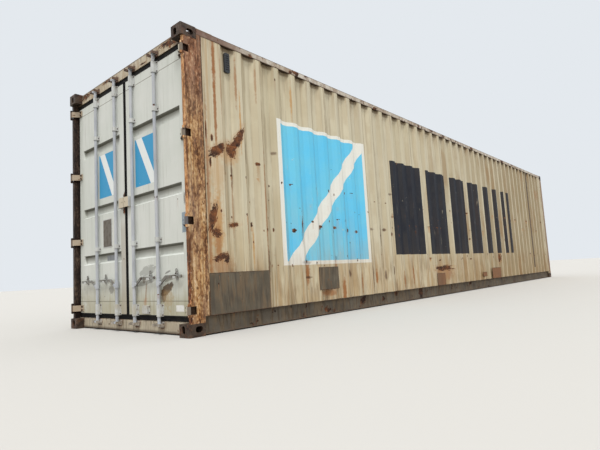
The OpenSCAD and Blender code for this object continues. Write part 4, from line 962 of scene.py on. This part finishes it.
railPaint = paintedSteel("railPaint", look(
    paint=screen(212, 206, 194), paintAged=screen(190, 178, 160), toneScale=3.0,
    streaks=({"width": 0.08, "length": 0.2, "cover": 0.5, "strength": 0.5, "tone": screen(140, 112, 88)},),
    chipSpacing=0.10, chipSize=0.012, chipShare=0.6, runLength=0.04, rustScale=6.0, rustCover=0.30,
    rustLight=0.35, edgeWear=0.8, edgeRadius=0.008, under=0.85, underTone=screen(52, 38, 26)),
    marks=markRail)
basePaint = paintedSteel("basePaint", look(
    paint=screen(118, 110, 97), paintAged=screen(90, 82, 71), toneScale=2.5,
    streaks=(
        {"width": 0.06, "length": 0.3, "cover": 0.5, "strength": 0.6, "tone": screen(128, 108, 82)},
        {"width": 0.03, "length": 0.2, "cover": 0.4, "strength": 0.6, "tone": screen(70, 60, 50)},
    ),
    chipSpacing=0.2, chipSize=0.014, chipShare=0.5, runLength=0.08, rustScale=5.0, rustCover=0.28,
    rustLight=0.25, edgeWear=0.7, edgeRadius=0.007, roughness=0.72))
roofPaint = paintedSteel("roofPaint", look(
    paint=screen(186, 176, 148), paintAged=screen(160, 146, 118), toneScale=1.2,
    chipSpacing=0.3, chipSize=0.012, chipShare=0.4, runLength=0.0, rustScale=2.4, rustCover=0.16,
    rustLight=0.4, edgeWear=0.4, roughness=0.72), marks=markRoof)
fittingPaint = paintedSteel("fittingPaint", look(
    paint=screen(208, 210, 208), paintAged=screen(194, 196, 193), toneScale=7.0,
    streaks=(
        {"width": 0.02, "length": 0.2, "cover": 0.36, "strength": 0.45, "tone": screen(164, 162, 154)},
        {"width": 0.02, "length": 0.1, "cover": 0.45, "strength": 0.5, "tone": screen(186, 176, 150),
            "height": (0.6, 0.3)},
    ),
    chipSpacing=0.06, chipSize=0.005, chipShare=0.30, runLength=0.05, rustScale=18.0, rustCover=0.08,
    rustLight=0.25, edgeWear=0.45, edgeRadius=0.003, roughness=0.5, peel=90.0, depth=0.002, under=0.9,
    underTone=screen(52, 46, 38)), marks=markFittings)
keeperPaint = paintedSteel("keeperPaint", look(
    paint=screen(196, 192, 184), paintAged=screen(168, 158, 142), toneScale=12.0,
    streaks=({"width": 0.02, "length": 0.1, "cover": 0.45, "strength": 0.5, "tone": screen(120, 98, 78)},),
    chipSpacing=0.04, chipSize=0.006, chipShare=0.4, runLength=0.03, rustScale=20.0, rustCover=0.22,
    rustLight=0.1, edgeWear=0.5, edgeRadius=0.003, roughness=0.6, peel=90.0, depth=0.002, under=0.95,
    underTone=screen(34, 28, 24)), marks=markKeepers)
rodPaint = paintedSteel("rodPaint", look(
    paint=screen(194, 197, 201), paintAged=screen(178, 183, 190), toneScale=4.0,
    streaks=({"width": 0.012, "length": 0.5, "cover": 0.36, "strength": 0.4,
    "tone": screen(150, 152, 154)},),
    chipSpacing=0.1, chipSize=0.005, chipShare=0.25, runLength=0.06, rustScale=14.0, rustCover=0.07,
    rustLight=0.3, edgeWear=0.35, edgeRadius=0.003, roughness=0.45, peel=90.0, depth=0.002))
handleSteel = paintedSteel("handleSteel", look(
    paint=screen(150, 152, 148), paintAged=screen(118, 118, 112), toneScale=8.0,
    streaks=({"width": 0.02, "length": 0.1, "cover": 0.45, "strength": 0.6, "tone": screen(104, 92, 76)},),
    chipSpacing=0.05, chipSize=0.006, chipShare=0.4, runLength=0.03, rustScale=16.0, rustCover=0.30,
    rustLight=0.2, edgeWear=0.6, edgeRadius=0.003, roughness=0.5, peel=90.0, depth=0.002))
patchPrimer = paintedSteel("patchPrimer", look(
    paint=screen(106, 97, 82), paintAged=screen(90, 82, 69), toneScale=4.0,
    streaks=(
        {"width": 0.07, "length": 0.3, "cover": 0.45, "strength": 0.5, "tone": screen(124, 102, 76)},
        {"width": 0.03, "length": 0.3, "cover": 0.32, "strength": 0.45, "tone": screen(130, 123, 106)},
        {"width": 0.03, "length": 0.4, "cover": 0.40, "strength": 0.6, "tone": screen(74, 66, 58)},
    ),
    chipSpacing=0.14, chipSize=0.006, chipShare=0.3, runLength=0.12, rustScale=7.0, rustCover=0.08,
    rustLight=0.3, edgeWear=0.9, edgeRadius=0.008, roughness=0.75), marks=markPlates)
flakedPost = makeFlakedPost()
castSteel = makeBareRust("castSteel", 16.0, 0.08, 0.006, 0.60)
forgedSteel = makeBareRust("forgedSteel", 26.0, 0.16, 0.004, 0.35)


def makeRubber():
    material, tree, shader, place = newMaterial("sealRubber")
    dust = patches(tree, place, 7.0, 0.45, 0.12)
    colour = wash(tree, screen(22, 22, 24), (screen(84, 80, 70), 0.22), dust)
    wire(tree, shader.inputs["Base Color"], colour)
    wire(tree, shader.inputs["Roughness"], calc(tree, "MULTIPLY_ADD", dust, 0.2, 0.75))
    shader.inputs["Specular IOR Level"].default_value = 0.15
    relief(tree, shader, grain(tree, place, 120.0, 3.0), 0.4, 0.001)
    return material


def makePlywood():
    material, tree, shader, place = newMaterial("floorPlywood")
    drawn = stretched(tree, place, (1.0, 9.0, 1.0))  # grain runs along the floor
    rings = grain(tree, drawn, 3.0, 6.0, 0.6, 0.6)
    colour = ramp(tree, rings, ((0.35, screen(104, 74, 46)), (0.5, screen(140, 104, 66)),
        (0.66, screen(168, 130, 88))))
    panel = vectorCalc(tree, "SNAP", place, (2.4, 0.61, 9.0))
    tint = shade(tree, "ShaderNodeTexWhiteNoise", {"Vector": panel}, noise_dimensions="3D").outputs["Value"]
    colour = wash(tree, colour, (screen(112, 84, 58), 0.35), tint)
    tracks = patches(tree, stretched(tree, place, (0.3, 1.6, 1.0)), 4.0, 0.42, 0.1)
    colour = wash(tree, colour, (screen(82, 66, 50), 0.6), tracks)
    wire(tree, shader.inputs["Base Color"], colour)
    wire(tree, shader.inputs["Roughness"], calc(tree, "MULTIPLY_ADD", rings, 0.3, 0.5))
    relief(tree, shader, rings, 0.5, 0.002)
    return material


def makeVentPlastic():
    material, tree, shader, place = newMaterial("ventPlastic")
    dust = rain(tree, place, 0.02, 0.2, 0.4, 0.1)
    colour = wash(tree, screen(42, 46, 52), (screen(92, 92, 88), 0.4), dust)
    wire(tree, shader.inputs["Base Color"], colour)
    wire(tree, shader.inputs["Roughness"], calc(tree, "MULTIPLY_ADD", dust, 0.3, 0.45))
    relief(tree, shader, grain(tree, place, 200.0, 2.0), 0.3, 0.0006)
    return material


finishes = {
    "casting_steel": castSteel,
    "rusted_post": flakedPost,
    "wall_paint": wallPaint,
    "vent_paint": makeVentPlastic(),
    "header_paint": headerPaint,
    "rail_paint": railPaint,
    "base_paint": basePaint,
    "roof_paint": roofPaint,
    "floor_ply": makePlywood(),
    "forged_steel": forgedSteel,
    "keepers": keeperPaint,
    "patch_primer": patchPrimer,
    "door_paint": doorPaint,
    "seal_rubber": makeRubber(),
    "fitting_paint": fittingPaint,
    "rod_paint": rodPaint,
    "handle_steel": handleSteel,
}
nodeFinishes = {  # finish, then how the names of its CAD nodes start; the first that fits is taken
    "casting_steel": ("casting",),
    "rusted_post": ("rear_post", "hinge_lugs"),
    "wall_paint": ("front_post", "side_wall", "front_wall"),
    "vent_paint": ("side_vents",),
    "header_paint": ("door_header", "door_sill"),
    "rail_paint": ("front_top", "top_side"),
    "base_paint": ("front_bottom", "bottom_side", "cross_members", "gooseneck"),
    "roof_paint": ("roof_panel",),
    "floor_ply": ("floor_panels",),
    "keepers": ("rod_keepers",),
    "patch_primer": ("repair_plates",),
    "door_paint": ("door_right_frame", "door_left_frame", "door_right_sheet", "door_left_sheet"),
    "seal_rubber": ("door_right_seal", "door_left_seal"),
    "fitting_paint": ("door_right_fittings", "door_left_fittings"),
    "rod_paint": ("rod_",),
    "handle_steel": ("handle_", "latch_"),
}


def finishOf(name):
    for finish, starts in nodeFinishes.items():
        if name.startswith(starts):
            return finish
    raise ValueError("no finish for " + name)


for name, node in nodes.items():
    node.data.materials.clear()
    node.data.materials.append(finishes[finishOf(name)])
print("finishes on the CAD nodes")


# pieces that the CAD leaves to this file: seal lips, bolts, plates, labels, welds and screws

def newPiece(name, mesh, finish, body):
    data = bpy.data.meshes.new(name)
    mesh.to_mesh(data)
    mesh.free()
    data.materials.append(finish)
    piece = bpy.data.objects.new(name, data)
    bpy.context.scene.collection.objects.link(piece)
    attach(piece, body)
    print(name, "made,", len(data.polygons), "faces")


def scatter(mesh, part, spots):  # copies of a small part; a spot is its place and the way it looks
    data = bpy.data.meshes.new("part")
    part.to_mesh(data)
    part.free()
    for place, way in spots:
        before = len(mesh.verts)
        mesh.from_mesh(data)
        mesh.verts.ensure_lookup_table()
        turn = Vector((0.0, 0.0, 1.0)).rotation_difference(Vector(way)).to_matrix().to_4x4()
        bmesh.ops.transform(mesh, matrix=Matrix.Translation(place) @ turn, verts=mesh.verts[before:])
    bpy.data.meshes.remove(data)


def boltHead(radius, rise):  # a hexagon head on its washer
    part = bmesh.new()
    bmesh.ops.create_cone(part, cap_ends=True, segments=12, radius1=radius * 1.5, radius2=radius * 1.4,
        depth=rise * 0.3, matrix=Matrix.Translation((0.0, 0.0, rise * 0.15)))
    bmesh.ops.create_cone(part, cap_ends=True, segments=6, radius1=radius, radius2=radius,
        depth=rise * 0.8, matrix=Matrix.Translation((0.0, 0.0, rise * 0.6)))
    rim = [edge for edge in part.edges if all(vert.co.z > rise * 0.9 for vert in edge.verts)]
    bmesh.ops.bevel(part, geom=rim, offset=radius * 0.16, affect="EDGES", segments=2, profile=0.5,
        material=-1)
    return part


def rivetHead(radius, rise):
    part = bmesh.new()
    bmesh.ops.create_uvsphere(part, u_segments=10, v_segments=6, radius=radius)
    bmesh.ops.bisect_plane(part, geom=part.verts[:] + part.edges[:] + part.faces[:],
        plane_co=(0.0, 0.0, 0.0), plane_no=(0.0, 0.0, 1.0), clear_inner=True)
    bmesh.ops.holes_fill(part, edges=[edge for edge in part.edges if edge.is_boundary])
    bmesh.ops.scale(part, vec=(1.0, 1.0, rise / radius), verts=part.verts)
    return part


def flatSheet(x, ySpan, zSpan, columns=1, rows=1):  # a sheet that looks along -X
    mesh = bmesh.new()
    (y0, y1), (z0, z1) = ySpan, zSpan
    place = Matrix.Translation((x, (y0 + y1) / 2, (z0 + z1) / 2))
    upright = Matrix.Rotation(-math.pi / 2, 4, "Y")
    size = Matrix.Diagonal((z1 - z0, y1 - y0, 1.0, 1.0))
    bmesh.ops.create_grid(mesh, x_segments=rows, y_segments=columns, size=0.5,
        matrix=place @ upright @ size)
    return mesh


def thicken(mesh, depth):  # draws the sheet out towards -X and closes it
    made = bmesh.ops.extrude_face_region(mesh, geom=mesh.faces[:])["geom"]
    drawn = [part for part in made if isinstance(part, bmesh.types.BMVert)]
    bmesh.ops.translate(mesh, vec=(-depth, 0.0, 0.0), verts=drawn)
    bmesh.ops.recalc_face_normals(mesh, faces=mesh.faces)


sealLip = {
    "edges": (0.012, 1.150),  # of a leaf, from the middle of the container
    "z": (0.166, 2.730),
    "width": 0.014,
    "rise": 0.0025,
    "rounding": 0.0009,
}


def makeSealLip(side, body):
    across = sorted(side * edge for edge in sealLip["edges"])
    mesh = flatSheet(doorFace, across, sealLip["z"])
    bmesh.ops.inset_region(mesh, faces=mesh.faces[:], thickness=sealLip["width"], use_boundary=True,
        use_even_offset=True)
    middle = min(mesh.faces, key=lambda face: abs(face.calc_center_median().z - sum(sealLip["z"]) / 2)
        + abs(face.calc_center_median().y - sum(across) / 2))
    bmesh.ops.delete(mesh, geom=[middle], context="FACES")
    thicken(mesh, sealLip["rise"])
    front = [edge for edge in mesh.edges if all(vert.co.x < doorFace - 0.001 for vert in edge.verts)
        and len({round(face.normal.x, 2) for face in edge.link_faces}) > 1]
    bmesh.ops.bevel(mesh, geom=front, offset=sealLip["rounding"], affect="EDGES", segments=2, profile=0.5,
        material=-1)
    newPiece(body + "_seal_lip", mesh, finishes["seal_rubber"], body)


doorBolts = {
    "hinge": {"radius": 0.0105, "rise": 0.012, "x": -6.018, "y": 1.0805, "apart": 0.040,
        "z": hingeHeights},
    "bearing": {"radius": 0.0055, "rise": 0.006, "x": -6.012, "apart": 0.034,
        "z": (0.184, 0.274, 0.912, 2.228, 2.622, 2.712)},
    "bracket": {"radius": 0.005, "rise": 0.006, "x": -6.011, "y": -0.370, "apart": 0.062,
        "z": (0.203, 0.261)},
    "rods": (0.185, 0.642),
}


def makeDoorBolts(side, body):
    away = (-1.0, 0.0, 0.0)
    hinge, bearing, bracket = (doorBolts[kind] for kind in ("hinge", "bearing", "bracket"))
    mesh = bmesh.new()
    scatter(mesh, boltHead(hinge["radius"], hinge["rise"]), [
        ((hinge["x"], side * hinge["y"], z + step * hinge["apart"] / 2), away)
        for z in hinge["z"] for step in (-1, 1)])
    newPiece(body + "_hinge_bolts", mesh, boltSteel, body)
    mesh = bmesh.new()
    spots = [((bearing["x"], side * rod + step * bearing["apart"], z), away)
        for rod in doorBolts["rods"] for z in bearing["z"] for step in (-1, 1)]
    if side < 0:
        spots += [((bracket["x"], bracket["y"] + step * bracket["apart"], z), away)
            for z in bracket["z"] for step in (-1, 1)]
    scatter(mesh, boltHead(bearing["radius"], bearing["rise"]), spots)
    newPiece(body + "_bearing_bolts", mesh, boltSteel, body)


dataPlate = {
    "x": -6.009,  # face of its holder
    "y": (0.335, 0.525),
    "z": (0.928, 1.234),
    "thickness": 0.0015,
    "rim": 0.007,
    "sunk": 0.0006,
    "rivet": (0.0045, 0.0022),
}


def makeDataPlate():  # left bare
    y0, y1 = dataPlate["y"]
    z0, z1 = dataPlate["z"]
    mesh = flatSheet(dataPlate["x"], (y0, y1), (z0, z1))
    thicken(mesh, dataPlate["thickness"])
    front = [face for face in mesh.faces if face.normal.x < -0.9]
    bmesh.ops.inset_region(mesh, faces=front, thickness=dataPlate["rim"], depth=-dataPlate["sunk"],
        use_even_offset=True)
    inset = dataPlate["rim"] * 2.2
    corners = [(y, z) for y in (y0 + inset, y1 - inset) for z in (z0 + inset, z1 - inset)]
    scatter(mesh, rivetHead(*dataPlate["rivet"]), [
        ((dataPlate["x"] - dataPlate["thickness"] + dataPlate["sunk"], y, z), (-1.0, 0.0, 0.0))
        for y, z in corners])
    newPiece("data_plate", mesh, plateEnamel, "door_left")


labels = {
    "white_sticker": {"x": -6.006, "y": (-1.018, -0.892), "z": (0.219, 0.277), "body": "door_right",
        "lift": 0.003},
    "grey_label": {"x": -5.974, "y": (0.255, 0.509), "z": (0.770, 0.830), "body": "door_left",
        "lift": 0.002},
}


def makeLabel(name, values, finish):  # a blank film, one corner of it lifted
    mesh = flatSheet(values["x"], values["y"], values["z"], 10, 6)
    (y0, y1), (z0, z1) = values["y"], values["z"]
    for vert in mesh.verts:
        corner = max(0.0, (y1 - vert.co.y) / (y1 - y0) + (vert.co.z - z0) / (z1 - z0) - 1.6)
        vert.co.x -= values["lift"] * corner ** 2 / 0.16
    thicken(mesh, 0.0005)
    newPiece(name, mesh, finish, values["body"])


welds = {
    "radius": 0.0034,
    "pitch": 0.013,
    "waist": 0.72,  # of the radius, between two ripples
    "y": -1.2153,  # beads round the repair plates, on the photographed side
    "plates": ((-5.858, -5.090, 0.1745, 0.5545), (-4.275, -3.905, 0.3005, 0.5615),
        (-1.173, -0.866, 0.1745, 0.3715), (0.905, 1.120, 0.2345, 0.3215), (1.440, 1.960, 0.1745, 0.3915)),
    "posts": {"radius": 0.0055, "z": (0.1195, 2.7765), "x": (-6.066, -5.922), "y": (1.172, 1.2130)},
}


def addBead(mesh, start, end, radius):  # a rippled weld along a straight seam
    start, end = Vector(start), Vector(end)
    way = end - start
    steps = max(3, round(way.length / welds["pitch"]))
    turn = Vector((0.0, 0.0, 1.0)).rotation_difference(way).to_matrix().to_4x4()
    ring = bmesh.ops.create_circle(mesh, cap_ends=True, radius=radius * welds["waist"], segments=6,
        matrix=Matrix.Translation(start) @ turn)["verts"]
    edges = list(ring[0].link_faces[0].edges)
    for step in range(steps):
        made = bmesh.ops.extrude_edge_only(mesh, edges=edges)["geom"]
        ring = {part for part in made if isinstance(part, bmesh.types.BMVert)}
        edges = [part for part in made
            if isinstance(part, bmesh.types.BMEdge) and ring.issuperset(part.verts)]
        bmesh.ops.translate(mesh, vec=way / steps, verts=list(ring))
        middle = start + way * (step + 1) / steps
        swell = 1 / welds["waist"] if step % 2 == 0 else welds["waist"]
        bmesh.ops.scale(mesh, vec=(swell, swell, swell), verts=list(ring),
            space=Matrix.Translation(-middle))
    bmesh.ops.contextual_create(mesh, geom=edges)


def makeWelds():
    mesh = bmesh.new()
    y = welds["y"]
    for x0, x1, z0, z1 in welds["plates"]:
        corners = ((x0, z0), (x1, z0), (x1, z1), (x0, z1))
        for start, end in ((0, 1), (3, 2), (0, 3), (1, 2)):
            start, end = corners[start], corners[end]
            addBead(mesh, (start[0], y, start[1]), (end[0], y, end[1]), welds["radius"])
    bmesh.ops.recalc_face_normals(mesh, faces=mesh.faces)
    newPiece("plate_welds", mesh, forgedSteel, "container")
    mesh = bmesh.new()
    post = welds["posts"]
    for side in (-1, 1):
        yIn, yOut = side * post["y"][0], side * post["y"][1]
        for z in post["z"]:
            addBead(mesh, (post["x"][0], yOut, z), (post["x"][1], yOut, z), post["radius"])
            addBead(mesh, (post["x"][0], yIn, z), (post["x"][0], yOut, z), post["radius"])
    bmesh.ops.recalc_face_normals(mesh, faces=mesh.faces)
    newPiece("post_welds", mesh, finishes["rusted_post"], "container")


floorScrews = {
    "radius": 0.0085,
    "rise": 0.0008,
    "z": 0.1625,
    "rows": (-5.85, 5.85, 27),  # first, last and how many, along the floor
    "columns": (-1.11, 1.11, 9),
}


def makeFloorScrews():
    spots = []
    (x0, x1, rows), (y0, y1, columns) = floorScrews["rows"], floorScrews["columns"]
    for row in range(rows):
        for column in range(columns):
            x = x0 + (x1 - x0) * row / (rows - 1)
            y = y0 + (y1 - y0) * column / (columns - 1)
            spots.append(((x, y, floorScrews["z"]), (0.0, 0.0, 1.0)))
    mesh = bmesh.new()
    scatter(mesh, rivetHead(floorScrews["radius"], floorScrews["rise"]), spots)
    newPiece("floor_screws", mesh, boltSteel, "container")


def makePlainFilm(name, fresh, aged, roughness, dirt):  # enamel or plastic film, scuffed and dusty
    material, tree, shader, place = newMaterial(name)
    scuffs = patches(tree, place, 26.0, 0.4, 0.1)
    runs = rain(tree, place, 0.012, 0.12, 0.4, 0.1)
    colour = wash(tree, fresh, (aged, 0.7), scuffs)
    colour = wash(tree, colour, (screen(98, 84, 66), dirt), runs)
    wire(tree, shader.inputs["Base Color"], colour)
    wire(tree, shader.inputs["Roughness"], calc(tree, "MULTIPLY_ADD", scuffs, 0.25, roughness))
    relief(tree, shader, grain(tree, place, 160.0, 3.0), 0.3, 0.0006)
    return material


boltSteel = makeBareRust("boltSteel", 40.0, -0.25, 0.002, 0.2)
plateEnamel = makePlainFilm("plateEnamel", screen(104, 96, 84), screen(88, 80, 68), 0.4, 0.4)
stickerFilm = makePlainFilm("stickerFilm", screen(232, 232, 228), screen(222, 221, 214), 0.35, 0.0)
labelFilm = makePlainFilm("labelFilm", screen(142, 146, 150), screen(130, 133, 136), 0.35, 0.1)
for side, body in ((-1, "door_right"), (1, "door_left")):
    makeSealLip(side, body)
    makeDoorBolts(side, body)
makeDataPlate()
makeLabel("white_sticker", labels["white_sticker"], stickerFilm)
makeLabel("grey_label", labels["grey_label"], labelFilm)
makeWelds()
makeFloorScrews()
print("added pieces made")


# floor, backdrop, light and camera

stage = {
    "floor": screen(196, 194, 189),
    "floorBounce": screen(150, 144, 134),  # what the light meets, so that undersides stay dark
    "backdrop": screen(228, 233, 238),
    "skyLight": 0.95,
    "sun": 2.0,
    "sunTurn": (25, 0, -45),  # high, behind the camera
    "sunSize": 12,
}


def makeStage():
    mesh = bmesh.new()
    bmesh.ops.create_circle(mesh, cap_ends=True, radius=160.0, segments=96)
    data = bpy.data.meshes.new("studioFloor")
    mesh.to_mesh(data)
    mesh.free()
    floor = bpy.data.objects.new("studioFloor", data)
    bpy.context.scene.collection.objects.link(floor)
    material, tree, shader, _ = newMaterial("studioFloor")
    seen = tree.nodes.new("ShaderNodeLightPath").outputs["Is Camera Ray"]
    wire(tree, shader.inputs["Base Color"], coat(tree, seen, stage["floorBounce"], stage["floor"]))
    shader.inputs["Roughness"].default_value = 0.9
    shader.inputs["Specular IOR Level"].default_value = 0.1
    data.materials.append(material)

    world = bpy.data.worlds.new("studioSky")
    bpy.context.scene.world = world
    world.use_nodes = True
    tree = world.node_tree
    light = tree.nodes["Background"]
    light.inputs["Color"].default_value = (1.0, 1.0, 1.0, 1.0)
    light.inputs["Strength"].default_value = stage["skyLight"]
    shown = shade(tree, "ShaderNodeBackground", {"Color": stage["backdrop"], "Strength": 1.0})
    path = tree.nodes.new("ShaderNodeLightPath").outputs
    seen = total(tree, [path["Is Camera Ray"], path["Is Glossy Ray"], path["Is Transmission Ray"]])
    sky = shade(tree, "ShaderNodeMixShader", {0: seen, 1: light.outputs[0], 2: shown.outputs[0]})
    tree.links.new(sky.outputs[0], tree.nodes["World Output"].inputs["Surface"])

    sun = bpy.data.lights.new("studioSun", "SUN")
    sun.energy = stage["sun"]
    sun.angle = math.radians(stage["sunSize"])
    lamp = bpy.data.objects.new("studioSun", sun)
    lamp.rotation_euler = Euler([math.radians(a) for a in stage["sunTurn"]])
    bpy.context.scene.collection.objects.link(lamp)


view = {
    "place": (-8.48278, -4.65010, 0.50979),
    "turn": (95.9385, 3.2241, -48.3929),
    "focal": 461.82,  # in pixels of a picture 600 wide
}


def makeCamera():
    data = bpy.data.cameras.new("camera")
    data.sensor_width = 36.0
    data.sensor_fit = "HORIZONTAL"
    data.lens = 36.0 * view["focal"] / 600
    data.clip_start = 0.05
    data.clip_end = 400.0
    camera = bpy.data.objects.new("camera", data)
    camera.location = view["place"]
    camera.rotation_euler = Euler([math.radians(a) for a in view["turn"]])
    bpy.context.scene.collection.objects.link(camera)
    bpy.context.scene.camera = camera


makeStage()
makeCamera()
bpy.context.scene.view_settings.view_transform = "Standard"
print("stage and camera set")
